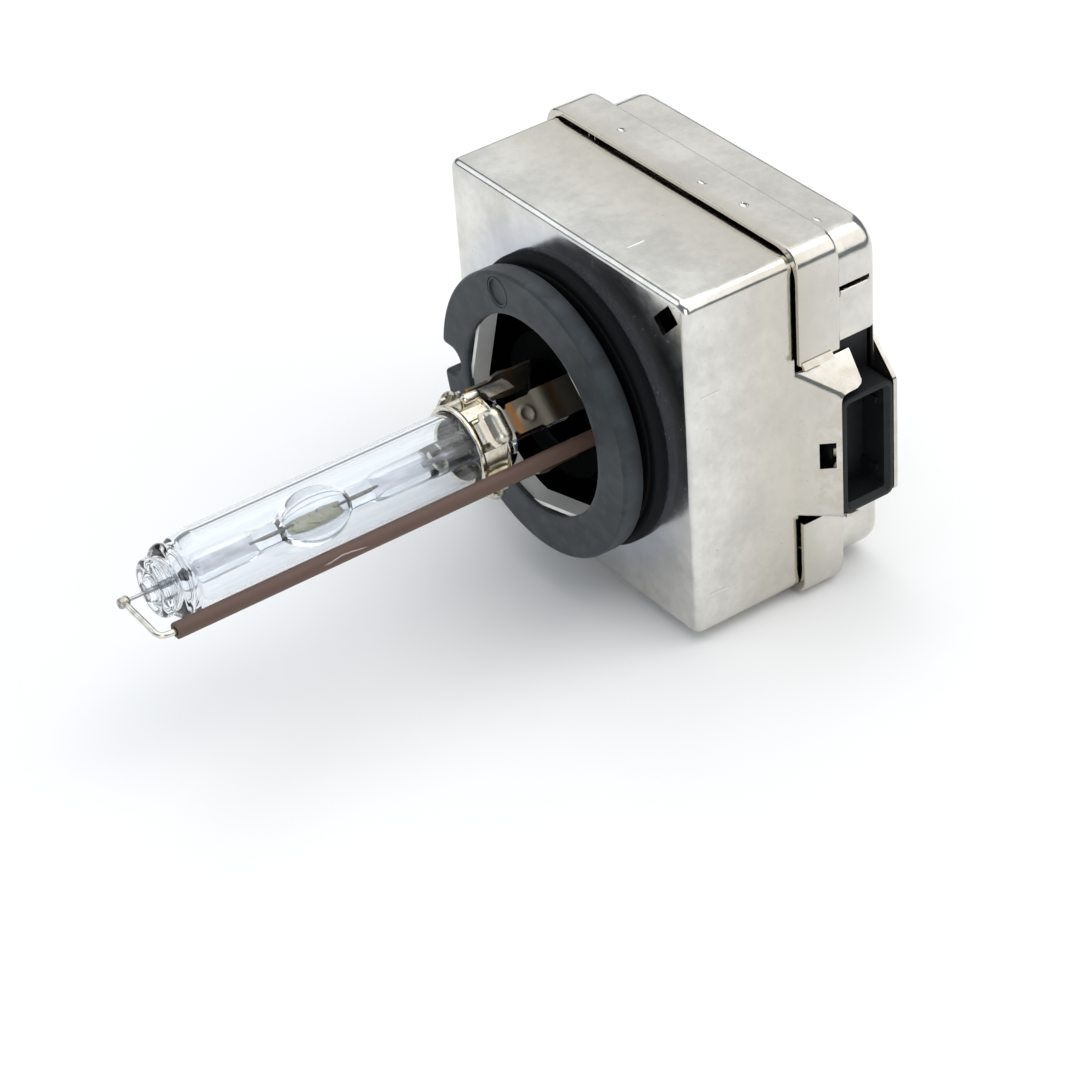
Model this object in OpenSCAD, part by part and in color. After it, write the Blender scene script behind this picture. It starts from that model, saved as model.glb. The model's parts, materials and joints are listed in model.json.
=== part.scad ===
// Gas-discharge headlamp bulb with a built-in igniter, in millimetres.
// The bulb points along -Y, the connector opens along +X and +Z is up.
// The origin is on the bulb's axis, in the reference plane of the base.

/* [Base] */
// Diameter of the keyed reference disc
disc_d = 32; // [31.5:0.1:32.5]
// Thickness of the reference disc
disc_t = 2.4; // [2:0.1:2.8]
// Diameter of the opening in the disc
opening_d = 22.6; // [22:0.1:23]
// Width of the locating notch in the disc's rim
notch_w = 3.2; // [2.4:0.1:4]
// Outer diameter of the rubber sealing ring
seal_d = 32.6; // [32:0.1:34]

/* [Bulb] */
// Distance of the arc's middle ahead of the reference plane
arc_ahead = 27.1; // [26.5:0.1:27.6]
// Gap between the two electrode tips
arc_gap = 4.2; // [3.8:0.1:4.6]
// Outer diameter of the quartz jacket
jacket_d = 8.6; // [8.4:0.1:8.8]
// Distance of the jacket's tip ahead of the reference plane
jacket_tip = 46; // [45.6:0.1:46.4]
// Distance of the outermost wire ahead of the reference plane
wire_tip = 49.6; // [49.4:0.1:50]
// Sideways distance of the ceramic tube from the bulb's axis
tube_x = 6.6; // [6.5:0.1:6.8]
// Outer diameter of the ceramic tube
tube_d = 1.74; // [1.6:0.02:1.9]

/* [Igniter box] */
// Width of the front shell
box_w = 40.2; // [39.8:0.1:41]
// Height of the front shell
box_h = 40.4; // [40:0.1:41]
// Height of the box's middle above the bulb's axis
box_z = 0.15; // [0:0.05:0.3]
// Distance of the shell's front face behind the reference plane
shell_front = 5.4; // [5.2:0.1:5.6]
// Distance of the seam behind the reference plane
seam_y = 18.8; // [18.4:0.1:19]
// Distance of the back face behind the reference plane
back_y = 30; // [29.6:0.1:30.4]
// Thickness of the sheet metal
sheet = 0.5; // [0.4:0.05:0.6]

/* [Holder] */
// Number of claws that hold the burner
claw_count = 3; // [3:1:3]
// Direction of the first claw, counted from +X towards +Z
claw_first = 44; // [40:1:48]
// Width of one claw
claw_w = 4; // [3.6:0.1:4.2]

/* [Connector] */
// Distance of the socket's mouth from the bulb's axis
mouth_x = 23; // [22.8:0.1:23.4]
// Outer width of the socket along the bulb's axis
socket_w = 6.9; // [6.7:0.1:7]
// Outer height of the socket
socket_h = 14.2; // [14:0.1:14.4]
// Height of the socket's middle above the bulb's axis
socket_z = -4; // [-4.2:0.1:-3.8]
// Distance between neighbouring pins
pin_pitch = 2.9; // [2.7:0.1:3]

/* [Hidden] */
$fn = 64;
play = 0.02;
lap = 0.08;

// Base
disc_r = disc_d / 2;
opening_r = opening_d / 2;
insert_r = 12;
gate_r = 1.7;
gate_depth = 0.3;
neck_r = 13.5;
flange_r = 15.4;
flange_back = shell_front + sheet + 1.1;
seal_front = 3.9;
tower_r = 8.3;
tower_bore_r = 4.9;
tower_front = 3.3;
tower_back = 8.6;

// Bulb
jacket_r = jacket_d / 2;
jacket_wall = 0.9;
jacket_back = -4.2;
vessel_r = 2.95;
vessel_half = 4;
cavity_r = 1.3;
cavity_half = 3.5;
stem_r = 1.75;
stem_front = -jacket_tip - 0.7;
stem_back = 3.6;
rod_r = 0.14;
foil_l = 7.2;
foil_w = 1.6;
foil_t = 0.06;
lead_r = 0.3;
foil_front_y = -arc_ahead - 10.6;
foil_back_y = -arc_ahead + 10.6;
tube_z = -0.6;
tube_r = tube_d / 2;
tube_front = -47.3;
tube_back = 9.4;
return_r = 0.33;
knob_r = 0.6;
hoop_r = 1.1;
wire_turn = atan2(-tube_z, tube_x);
cross_l = norm([tube_x, tube_z]);

// Holder
band_r = jacket_r + 0.35;
band_front = -9.5;
band_back = -6.2;
lip_r = 0.45;
claw_t = 0.35;
claw_r = 5.18;
claw_front = -9;
bead_y = -6.8;
bead_r = 1;
claw_back = 7.6;
insert_t = 0.45;
insert_flat = 10.55;
insert_back = 2.7;

// Igniter box
corner_r = 1.5;
edge_r = 0.85;
skirt_out = 0.95;
skirt_end = 23.4;
cover_corner_r = 3.6;
cover_edge_r = 1.6;
hood_y = 22.5;
cut_top = 8.2;
cut_low = -11.6;
ear_top = socket_z + socket_h / 2 + 0.6;
ear_low = socket_z - socket_h / 2 - 0.1;

// Connector
socket_front = 22.65;
socket_back = socket_front + socket_w;
socket_wall = 1.05;
socket_floor = 14.2;
socket_mid = socket_front + socket_w / 2;
pin_tip = 18.4;
pin_w = 1.5;
pin_t = 0.64;
pin_foot_x = 9.2;

// Igniter
tray_front = 9.6;
tray_t = 1.2;
tray_w = 37.4;
board_front = tray_front + tray_t;
board_t = 1;
deck = board_front + board_t;
core_x = -10.6;
core_y = 19.8;
core_w = 5;
core_l = 31;
bobbin_l = 30;
bobbin_w = 12.4;
chamber_count = 6;
gap_x = 3.2;
gap_y = deck + 4;
gap_z = -11.4;
gap_r = 3.3;
gap_l = 6;
cap_t = 1.1;

// ---- Helpers ----

// A box between two corners
module block(a, b) translate(a) cube(b - a);

// A round bar along Y
module rod_y(r, from, to)
  translate([0, from, 0]) rotate([-90, 0, 0]) cylinder(r = r, h = to - from);

// A flat shape drawn in X and Z, made solid from one Y to another
module slab(from, to)
  translate([0, to, 0]) rotate([90, 0, 0]) linear_extrude(to - from) children();

// A profile of [radius, y] points turned about the Y axis
module turned(points)
  rotate([-90, 0, 0]) rotate_extrude() polygon(points);

// A rectangle with round corners, centred on the origin
module round_rect(w, h, r) {
  square([w - 2 * r, h], center = true);
  square([w, h - 2 * r], center = true);
  for (x = [-1, 1], y = [-1, 1])
    translate([x * (w / 2 - r), y * (h / 2 - r)]) circle(r = r);
}

// A rectangle standing on y = 0, with round upper corners
module round_top(w, h, r) {
  translate([-w / 2, 0]) square([w, h - r]);
  translate([r - w / 2, 0]) square([w - 2 * r, h]);
  for (x = [-1, 1]) translate([x * (w / 2 - r), h - r]) circle(r = r);
}

// A block with round upright corners and a rounded top edge, standing on z = 0
module soft_block(w, h, d, corner, edge) intersection() {
  linear_extrude(d) round_rect(w, h, corner);
  rotate([90, 0, 0]) linear_extrude(h + 2, center = true) round_top(w, d, edge);
  rotate([90, 0, 90]) linear_extrude(w + 2, center = true) round_top(h, d, edge);
}

// The same block lying down, with its rounded face towards -Y
module facing_front(y) translate([0, y, box_z]) rotate([90, 0, 0]) children();

// The same block lying down, with its rounded face towards +Y
module facing_back(y) translate([0, y, box_z]) rotate([-90, 0, 0]) children();

// Puts its children in the direction of one claw, which points along +X
module towards_claw(index)
  rotate([0, -(claw_first + 360 / claw_count * index), 0]) children();

// ---- Igniter box ----

module front_shell() color("silver") {
  difference() {
    facing_front(seam_y) soft_block(box_w, box_h, seam_y - shell_front, corner_r, edge_r);
    facing_front(seam_y + 1)
      soft_block(box_w - 2 * sheet, box_h - 2 * sheet, seam_y + 1 - shell_front - sheet,
                 corner_r - sheet, edge_r - sheet);
    rod_y(neck_r + play, 0, 10);
    corner_slot();
    connector_window();
  }
  front_hood();
}

// Slanted slot in the corner of the shell's front face
module corner_slot()
  translate([16.9, 0, 17.35]) rotate([0, -45, 0]) block([-1.8, 4, -1.05], [1.8, 7, 1.05]);

// Opening in the shell's side behind the hood
module connector_window()
  block([box_w / 2 - 1, hood_y - 8, ear_low + 1.2], [box_w / 2 + 1, 20, ear_top - 1.2]);

// Sheet that leans out of the shell's side and wraps the front of the socket
module front_hood() {
  difference() {
    translate([0, 0, ear_low]) linear_extrude(ear_top - ear_low) polygon([
      [box_w / 2 - sheet, seam_y - 5], [box_w / 2, seam_y - 5],
      [box_w / 2, seam_y], [mouth_x - 0.1, hood_y - 0.6],
      [mouth_x - 0.1, hood_y + 0.1], [mouth_x - 0.6, hood_y + 0.1],
      [box_w / 2 - sheet, seam_y + 0.4]
    ]);
    hood_window();
  }
  block([box_w / 2 - 1.6, hood_y - 0.2, ear_top - sheet], [mouth_x - 0.5, 26.6, ear_top]);
}

// Square window that the socket's catch shows through
module hood_window() block([20, 20.9, socket_z - 0.9], [24, 22.3, socket_z + 2.2]);

module rear_cover() color("gainsboro") {
  difference() {
    union() {
      facing_back(seam_y) soft_block(box_w + 2 * skirt_out, box_h + 2 * skirt_out,
                                     skirt_end + 0.9 - seam_y, corner_r + skirt_out, edge_r);
      facing_back(seam_y) soft_block(box_w - 0.3, box_h - 0.5, back_y - seam_y,
                                     cover_corner_r, cover_edge_r);
    }
    facing_back(seam_y - 1) soft_block(box_w + 0.06, box_h + 0.06,
                                       skirt_end + 1.3 - seam_y, corner_r, edge_r - 0.4);
    facing_back(seam_y - 1)
      soft_block(box_w - 0.3 - 2 * sheet, box_h - 0.5 - 2 * sheet,
                 back_y + 1 - sheet - seam_y, cover_corner_r - sheet, cover_edge_r - sheet);
    cover_window();
    side_lance();
  }
  rear_ear();
}

// Cut in the cover's side that the connector comes out of
module cover_window() {
  block([14, seam_y - 1, cut_low], [24, 26.6, cut_top]);
  block([14, seam_y - 1, ear_low - 0.2], [24, back_y - sheet - 0.02, ear_top + 1.2]);
}

// Lanced slot above the connector
module side_lance() block([18, 24.9, 13.9], [24, 28.6, 14.7]);

// Part of the cover's back that runs out behind the socket
module rear_ear()
  slab(back_y - sheet, back_y) polygon([
    [box_w / 2 - 3, ear_low], [mouth_x, ear_low + 0.4], [mouth_x, ear_top - 0.9],
    [mouth_x - 0.6, ear_top - 0.4], [box_w / 2 - 3, ear_top + 1.2]
  ]);

// Foam pad that presses the igniter against the cover
module rear_pad() color("dimgray")
  block([-16, 26.9, -14], [-5, back_y - sheet, 14]);

// ---- Base ----

// Keyed ring with its notch and gate mark
module disc_outline() difference() {
  circle(r = disc_r);
  translate([-disc_r - 0.2, 0]) square([3, notch_w], center = true);
  translate([-disc_r + 2.8 - notch_w / 2 + 0.4, 0]) circle(d = notch_w);
  translate([-disc_r + 0.8, 0]) square([2.8, notch_w], center = true);
}

module base_moulding() color([0.24, 0.25, 0.27]) difference() {
  union() {
    slab(0, disc_t) disc_outline();
    rod_y(neck_r, disc_t - 0.5, flange_back);
    rod_y(flange_r, shell_front + sheet, flange_back);
    rod_y(tower_r, tower_front, tower_back);
  }
  rod_y(opening_r, -1, 1);
  rod_y(insert_r, 0.45, shell_front);
  difference() {
    rod_y(insert_r, 1, flange_back - 1.1);
    rod_y(tower_r, tower_front, 9);
  }
  rod_y(tower_bore_r, -1, 9);
  translate([tube_x, 0, tube_z]) rod_y(tube_r + 0.08, -1, 9);
  for (index = [0:claw_count - 1]) towards_claw(index)
    block([claw_r - 0.05, 3, -claw_w / 2 - 0.05], [claw_r + claw_t + 0.05, 9, claw_w / 2 + 0.05]);
  translate([-4.5, 0, 13]) rod_y(gate_r, -1, gate_depth);
}

// Pressed steel ring in the base, with one flat for each claw
module steel_insert() color("lightgray") slab(0.47, insert_back) difference() {
  insert_solid(0);
  insert_solid(insert_t);
}

// Disc that keeps only what lies inside every flat
module insert_solid(grow) difference() {
  circle(r = insert_r - play - grow);
  for (index = [0:claw_count - 1]) rotate(claw_first + 360 / claw_count * index)
    translate([insert_flat + insert_t - grow, -20]) square([20, 40]);
}

module seal_ring() color([0.05, 0.05, 0.06]) turned([
  [neck_r + play, seal_front], [seal_d / 2 - 0.9, seal_front],
  [seal_d / 2 - 0.2, seal_front + 0.35], [seal_d / 2, shell_front - 0.4],
  [seal_d / 2, shell_front - play], [neck_r + play, shell_front - play]
]);

// ---- Burner holder ----

module clamp_band() color("silver") {
  turned([
    [jacket_r + play, band_front], [band_r + lip_r, band_front],
    [band_r + lip_r, band_front + 0.35], [band_r, band_front + 0.55],
    [band_r, band_back - 0.5], [band_r + 0.3, band_back - 0.35],
    [band_r + 0.3, band_back], [jacket_r + play, band_back]
  ]);
  for (turn = [92, 224, 344]) rotate([0, -turn, 0]) {
    block([band_r - 0.1, band_front + 1.4, -0.4], [band_r + 1, band_back - 0.2, 0.4]);
    translate([band_r + 1, 0, 0]) rod_y(0.6, band_front + 1.4, band_back - 0.2);
  }
}

// Side view of one claw, with its distance from the axis along X
module claw_outline() {
  translate([claw_r, bead_y + bead_r - claw_t / 2]) square([claw_t, claw_back - bead_y - bead_r]);
  translate([claw_r, claw_front]) square([claw_t, bead_y - bead_r + claw_t / 2 - claw_front]);
  translate([claw_r, bead_y]) difference() {
    circle(r = bead_r);
    circle(r = bead_r - claw_t);
    translate([-2 * bead_r, -bead_r]) square(2 * bead_r);
  }
  translate([band_r + play, band_front + 0.8]) square([claw_r - band_r, 1]);
}

// One claw lies along the band and goes back into the tower
module claw(index) color([0.62, 0.6, 0.55]) towards_claw(index)
  linear_extrude(claw_w, center = true) claw_outline();

// ---- Bulb ----

module quartz_jacket() color([0.85, 0.92, 1, 0.35]) difference() {
  turned([
    [0, jacket_back], [jacket_r - 1.4, jacket_back], [jacket_r - 0.4, jacket_back - 0.5],
    [jacket_r, jacket_back - 1.6], [jacket_r, -jacket_tip + 4.6],
    [jacket_r - 0.35, -jacket_tip + 3.9], [jacket_r - 0.9, -jacket_tip + 3.6],
    [jacket_r - 0.9, -jacket_tip + 3.2], [jacket_r - 0.4, -jacket_tip + 2.9],
    [jacket_r - 0.3, -jacket_tip + 2.3], [jacket_r - 0.8, -jacket_tip + 1.9],
    [jacket_r - 1.5, -jacket_tip + 1.7], [jacket_r - 1.5, -jacket_tip + 1.3],
    [jacket_r - 1, -jacket_tip + 1.1], [jacket_r - 1, -jacket_tip + 0.4],
    [jacket_r - 1.6, -jacket_tip], [0, -jacket_tip]
  ]);
  turned([
    [0, jacket_back - 1.1], [jacket_r - 1.8, jacket_back - 1.2],
    [jacket_r - jacket_wall, jacket_back - 2.6], [jacket_r - jacket_wall, -jacket_tip + 5],
    [jacket_r - 1.9, -jacket_tip + 3], [stem_r + 0.05, -jacket_tip + 1.4],
    [0, -jacket_tip + 1.4]
  ]);
  rod_y(stem_r, -60, 6);
}

// Half outline of the discharge vessel, as [radius, y] points
function vessel_points(r, half, steps) =
  [for (i = [0:steps]) [r * sin(180 * i / steps), -arc_ahead - half * cos(180 * i / steps)]];

// A solid of revolution shaped like a lemon seed
module seed(r, half) turned(concat([[0, -arc_ahead - half]], [
  for (p = vessel_points(r, half, 20)) if (p[0] > 0.01) p
], [[0, -arc_ahead + half]]));

module arc_tube() color([0.9, 0.95, 1, 0.4]) difference() {
  union() {
    seed(vessel_r, vessel_half);
    rod_y(1.25, -arc_ahead - 6.6, -arc_ahead + 6.6);
    rod_y(stem_r - play, stem_front, foil_front_y - foil_l / 2 + 0.4);
    rod_y(stem_r - play, foil_back_y + foil_l / 2 - 0.4, stem_back);
    for (y = [foil_front_y, foil_back_y])
      translate([0, y, 0]) rotate([0, 40, 0])
        block([-1.5, -foil_l / 2 - 1, -0.8], [1.5, foil_l / 2 + 1, 0.8]);
  }
  seed(cavity_r, cavity_half);
  electrode(1, rod_r + play);
  electrode(-1, rod_r + play);
  foil(foil_front_y, play);
  foil(foil_back_y, play);
  rod_y(lead_r + play, stem_front - 1, foil_front_y - foil_l / 2 + 1);
  rod_y(lead_r + play, foil_back_y + foil_l / 2 - 1, stem_back + 1);
}

module salt_pool() color([0.85, 0.78, 0.4]) intersection() {
  seed(cavity_r - play, cavity_half - play);
  block([-2, -arc_ahead - 2.6, -2], [2, -arc_ahead + 2.6, -0.95]);
}

// One tungsten rod from the arc gap out to its foil
module electrode(side, r)
  rod_y(r, min(side * arc_gap / 2, side * 7.6) - arc_ahead,
        max(side * arc_gap / 2, side * 7.6) - arc_ahead);

module electrode_front() color("dimgray") electrode(-1, rod_r);

module electrode_rear() color("dimgray") electrode(1, rod_r);

// One sealing foil with room for the rod and lead that lap on it
module foil(y, grow)
  translate([0, y, 0]) rotate([0, 40, 0])
    block([-foil_w / 2 - grow, -foil_l / 2 - grow, -foil_t / 2 - grow],
          [foil_w / 2 + grow, foil_l / 2 + grow, foil_t / 2 + grow]);

module foil_front() color("slategray") foil(foil_front_y, 0);

module foil_rear() color("slategray") foil(foil_back_y, 0);

module lead_front() color("gray")
  rod_y(lead_r, -wire_tip + knob_r + 0.3, foil_front_y - foil_l / 2 + 1);

module lead_rear() color("gray")
  rod_y(lead_r, foil_back_y + foil_l / 2 - 1, 12.6);

module weld_knob() color([0.45, 0.42, 0.4]) difference() {
  translate([0, -wire_tip + knob_r, 0]) turned([
    [0, -knob_r], [knob_r / 2, -knob_r], [knob_r, -knob_r / 2],
    [knob_r, knob_r / 2], [knob_r / 2, knob_r], [0, knob_r]
  ]);
  rod_y(lead_r, -wire_tip + knob_r + 0.3, -40);
  translate([0, -wire_tip + knob_r, 0]) rotate([0, 90 + wire_turn, 0])
    translate([0, 0, 0.3]) cylinder(r = return_r, h = 3);
}

// Nickel wire from the knob, across and back through the ceramic tube
module return_wire() color("lightgray") {
  translate([0, -wire_tip + knob_r, 0]) rotate([0, wire_turn, 0]) {
    translate([0.3, 0, 0]) rotate([0, 90, 0])
      cylinder(r = return_r, h = cross_l - hoop_r - 0.3 + lap);
    translate([cross_l - hoop_r, hoop_r, 0]) rotate([0, 0, -90])
      rotate_extrude(angle = 90) translate([hoop_r, 0]) circle(r = return_r + play);
  }
  translate([tube_x, 0, tube_z]) rod_y(return_r, -wire_tip + knob_r + hoop_r - lap, 13.4);
}

module ceramic_tube() color([0.39, 0.31, 0.28]) translate([tube_x, 0, tube_z]) difference() {
  rod_y(tube_r, tube_front, tube_back);
  rod_y(return_r + 0.04, tube_front - 1, tube_back + 1);
}

// ---- Contacts ----

module hv_sleeve() color("goldenrod") difference() {
  rod_y(1.1, 9.8, 14);
  rod_y(lead_r + play, 9, 12.6 + play);
}

module hv_link() color("goldenrod") {
  block([core_x + 4, 14, -0.8], [1, 14.4, 0.8]);
  block([core_x + 4, 13.2, -0.8], [core_x + 4.4, 14, 0.8]);
}

module return_terminal() color("goldenrod") translate([tube_x, 0, tube_z]) difference() {
  rod_y(0.9, deck, 14.2);
  rod_y(return_r + play, deck - 1, 13.4 + play);
}

module connector_housing() color([0.1, 0.1, 0.11]) difference() {
  union() {
    block([8, socket_front, socket_z - socket_h / 2],
          [mouth_x - 0.15, socket_back - play, socket_z + socket_h / 2]);
    block([8, 12.6, socket_z - 6.4], [13.2, socket_front + 1, socket_z + 6.4]);
  }
  block([socket_floor, socket_front + socket_wall, socket_z - socket_h / 2 + 0.9],
        [mouth_x + 1, socket_back - socket_wall, socket_z + socket_h / 2 - 0.9]);
  for (index = [0:3]) pin_shape(index, play);
}

// Height of one pin
function pin_z(index) = socket_z + (index - 1.5) * pin_pitch;

// Angled blade from the board up into the socket
module pin_shape(index, grow) {
  block([pin_foot_x - grow, socket_mid - pin_t / 2 - grow, pin_z(index) - pin_w / 2 - grow],
        [pin_tip + grow, socket_mid + pin_t / 2 + grow, pin_z(index) + pin_w / 2 + grow]);
  block([pin_foot_x - grow, deck - 0.6, pin_z(index) - pin_w / 2 - grow],
        [pin_foot_x + pin_t + grow, socket_mid, pin_z(index) + pin_w / 2 + grow]);
}

module pin(index) color("gold") pin_shape(index, 0);

// ---- Igniter ----

module igniter_tray() color([0.16, 0.16, 0.18]) difference() {
  translate([0, 0, box_z]) slab(tray_front, 14.6) round_rect(tray_w, tray_w, 1.4);
  translate([0, 0, box_z]) slab(board_front, 15) round_rect(tray_w - 2.4, tray_w - 2.4, 0.8);
  rod_y(1.3, 9, 12);
  translate([tube_x, 0, tube_z]) rod_y(1, 9, 12);
}

module circuit_board() color("darkgreen") difference() {
  translate([0, 0, box_z]) slab(board_front, deck)
    round_rect(tray_w - 2.7, tray_w - 2.7, 0.7);
  rod_y(1.3, 10, 13);
  translate([tube_x, 0, tube_z]) rod_y(0.6, 10, 13);
  for (index = [0:3])
    block([pin_foot_x - 0.05, deck - 0.65, pin_z(index) - pin_w / 2 - 0.05],
          [pin_foot_x + pin_t + 0.05, 13, pin_z(index) + pin_w / 2 + 0.05]);
}

module transformer_core() color([0.2, 0.2, 0.21])
  translate([core_x, core_y, 0]) cube([core_w, core_w, core_l], center = true);

// Length of bobbin that one winding chamber takes
chamber_pitch = bobbin_l / chamber_count;

module winding_bobbin() color([0.85, 0.83, 0.75]) translate([core_x, core_y, 0]) difference() {
  union() {
    cube([core_w + 1.8, core_w + 1.8, bobbin_l], center = true);
    for (i = [0:chamber_count])
      translate([0, 0, (i - chamber_count / 2) * (chamber_pitch - 0.13)])
        cube([bobbin_w, bobbin_w, 0.8], center = true);
  }
  cube([core_w + 2 * play, core_w + 2 * play, core_l + 1], center = true);
  wire_pass(0.3);
}

// Straight run of wire that links the secondary's chambers
module wire_pass(grow)
  translate([-bobbin_w / 2 + 1.2 - grow, -grow, -bobbin_l / 2 + 1])
    cube([0.6 + 2 * grow, 0.6 + 2 * grow, (chamber_count - 1) * (chamber_pitch - 0.13) - 1.6]);

// One coil of wire packed into a bobbin chamber
module coil(i, w) translate([core_x, core_y, (i + 0.5 - chamber_count / 2) * (chamber_pitch - 0.13)])
  difference() {
    cube([w, w, chamber_pitch - 1], center = true);
    cube([core_w + 1.84, core_w + 1.84, chamber_pitch], center = true);
  }

module secondary_winding() color("chocolate") {
  for (i = [0:chamber_count - 2]) coil(i, bobbin_w - 1.6);
  translate([core_x, core_y, 0]) wire_pass(0);
}

module primary_winding() color("peru") coil(chamber_count - 1, bobbin_w - 0.8);

module spark_gap_tube() color("white") translate([gap_x, gap_y, gap_z]) difference() {
  cylinder(r = gap_r, h = gap_l, center = true);
  cylinder(r = gap_r - 0.9, h = gap_l + 1, center = true);
}

// End cap of the spark gap, with its electrode and its solder lug
module spark_gap_cap(side) color("silver") translate([gap_x, gap_y, gap_z]) {
  translate([0, 0, side * (gap_l + cap_t) / 2]) cylinder(r = gap_r, h = cap_t, center = true);
  translate([0, 0, side * (gap_l / 2 + cap_t / 2 - 1.3)])
    cylinder(r = 1.3, h = 2.6, center = true);
  translate([-0.6, deck - gap_y, side * (gap_l / 2 + cap_t / 2) - 0.25])
    cube([1.2, gap_y - deck, 0.5]);
}

module capacitor() color([0.75, 0.2, 0.15]) block([5.4, deck, 5.6], [16.4, deck + 9.5, 16.4]);

module resistor() color([0.6, 0.7, 0.8]) {
  translate([10.6, deck + 2.1, -15]) rotate([0, 90, 0]) cylinder(r = 1.4, h = 5.6);
  for (x = [9.4, 17.2]) block([x - 0.3, deck, -15.3], [x + 0.3, deck + 2.4, -14.7]);
  translate([9.4, deck + 2.1, -15]) rotate([0, 90, 0]) cylinder(r = 0.3, h = 7.8);
}

// Leaf that earths the board to the shell's side wall
module ground_spring() color("silver") {
  block([13.5, deck, 17.2], [17, deck + 0.3, 17.7]);
  block([13.5, deck, 17.2], [17, deck + 4, 17.5]);
  block([13.5, deck + 3.7, 17.2], [17, deck + 4, box_z + box_h / 2 - sheet]);
}

front_shell();
rear_cover();
seal_ring();
base_moulding();
steel_insert();
claw(0);  // claw_1
claw(1);  // claw_2
claw(2);  // claw_3
clamp_band();
quartz_jacket();
arc_tube();
salt_pool();
electrode_front();
electrode_rear();
foil_front();
foil_rear();
lead_front();
lead_rear();
weld_knob();
return_wire();
ceramic_tube();
hv_sleeve();
hv_link();
return_terminal();
connector_housing();
pin(0);  // pin_1
pin(1);  // pin_2
pin(2);  // pin_3
pin(3);  // pin_4
igniter_tray();
circuit_board();
transformer_core();
winding_bobbin();
secondary_winding();
primary_winding();
spark_gap_tube();
spark_gap_cap(-1);  // spark_gap_cap_a
spark_gap_cap(1);  // spark_gap_cap_b
capacitor();
resistor();
ground_spring();
rear_pad();
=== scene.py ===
"""Looks of a gas-discharge headlamp bulb with its igniter, built round the packed frame."""

import json
import math

import bmesh
import bpy
from mathutils import Matrix, Vector, noise


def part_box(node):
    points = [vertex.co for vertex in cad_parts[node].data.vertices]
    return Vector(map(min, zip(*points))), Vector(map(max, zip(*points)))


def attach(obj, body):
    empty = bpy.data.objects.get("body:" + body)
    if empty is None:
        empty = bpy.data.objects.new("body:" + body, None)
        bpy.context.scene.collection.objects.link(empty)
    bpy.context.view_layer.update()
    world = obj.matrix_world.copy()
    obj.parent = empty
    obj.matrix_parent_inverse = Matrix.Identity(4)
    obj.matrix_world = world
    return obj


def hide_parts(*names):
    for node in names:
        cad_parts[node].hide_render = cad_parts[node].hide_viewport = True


bl_info = {
    "name": "Discharge Headlamp Bulb",
    "version": (1, 0, 0),
    "blender": (4, 5, 0),
    "location": "3D View > Sidebar > Bulb",
    "description": "Builds the box, base, holder, burner and connector of a headlamp bulb",
    "category": "Object",
}

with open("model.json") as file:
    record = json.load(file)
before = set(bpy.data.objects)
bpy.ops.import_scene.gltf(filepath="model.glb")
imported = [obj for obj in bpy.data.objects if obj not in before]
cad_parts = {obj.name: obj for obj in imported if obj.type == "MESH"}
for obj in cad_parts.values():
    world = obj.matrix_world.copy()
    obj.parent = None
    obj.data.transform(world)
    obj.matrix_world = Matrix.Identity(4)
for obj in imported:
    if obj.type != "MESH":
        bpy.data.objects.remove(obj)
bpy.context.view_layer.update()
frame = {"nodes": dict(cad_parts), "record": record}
MM = 0.001


def low(node):
    """Lowest corner of a CAD node, in millimetres."""
    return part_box(node)[0] / MM


def high(node):
    """Highest corner of a CAD node, in millimetres."""
    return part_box(node)[1] / MM


SHELL_LOW, SHELL_HIGH = low("front_shell"), high("front_shell")
BOX_W = -2 * SHELL_LOW.x
BOX_H = SHELL_HIGH.z - SHELL_LOW.z
BOX_Z = (SHELL_HIGH.z + SHELL_LOW.z) / 2
FRONT_Y = SHELL_LOW.y
SEAM_Y = low("rear_cover").y
BACK_Y = high("rear_cover").y
SKIRT_OUT = high("rear_cover").z - SHELL_HIGH.z
DISC_R = high("base_moulding").x
JACKET_R = (high("quartz_jacket").x - low("quartz_jacket").x) / 2
JACKET_TIP = low("quartz_jacket").y
JACKET_BACK = high("quartz_jacket").y
TUBE_MID = (low("ceramic_tube") + high("ceramic_tube")) / 2
TUBE_R = high("ceramic_tube").x - TUBE_MID.x
TUBE_FRONT, TUBE_BACK = low("ceramic_tube").y, high("ceramic_tube").y
ARC_Y = (high("electrode_front").y + low("electrode_rear").y) / 2
SOCKET_LOW, SOCKET_HIGH = low("connector_housing"), high("connector_housing")
FLOOR_Z = low("rear_cover").z
NECK_R, CAVITY_R, DISC_THICK = 13.45, 12.0, 2.4
CLAW_TURNS = (44, 164, 284)


# ---- Settings ----


def length(name, text, value):
    """A size in metres, given here in millimetres."""
    return bpy.props.FloatProperty(
        name=name, description=text, default=value * MM, min=0, unit="LENGTH", subtype="DISTANCE"
    )


def colour(name, text, value):
    """A linear RGB colour."""
    return bpy.props.FloatVectorProperty(
        name=name, description=text, default=value, size=3, min=0, max=1, subtype="COLOR"
    )


class BULB_PG_box(bpy.types.PropertyGroup):
    """Sizes of the igniter box"""

    sheet: length("Sheet", "Thickness of the sheet metal", 0.5)
    corner: length("Corner", "Radius of the shell's upright corners", 1.5)
    edge: length("Edge", "Radius of the shell's front edges", 0.85)
    cover_corner: length("Cover corner", "Radius of the cover's corners behind the skirt", 3.6)
    cover_edge: length("Cover edge", "Radius of the cover's back edges", 1.5)
    step: length("Step", "Radius where the skirt steps down", 0.8)
    dent: length("Dent", "Depth of the hollow in front of the hood", 0.3)


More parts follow.
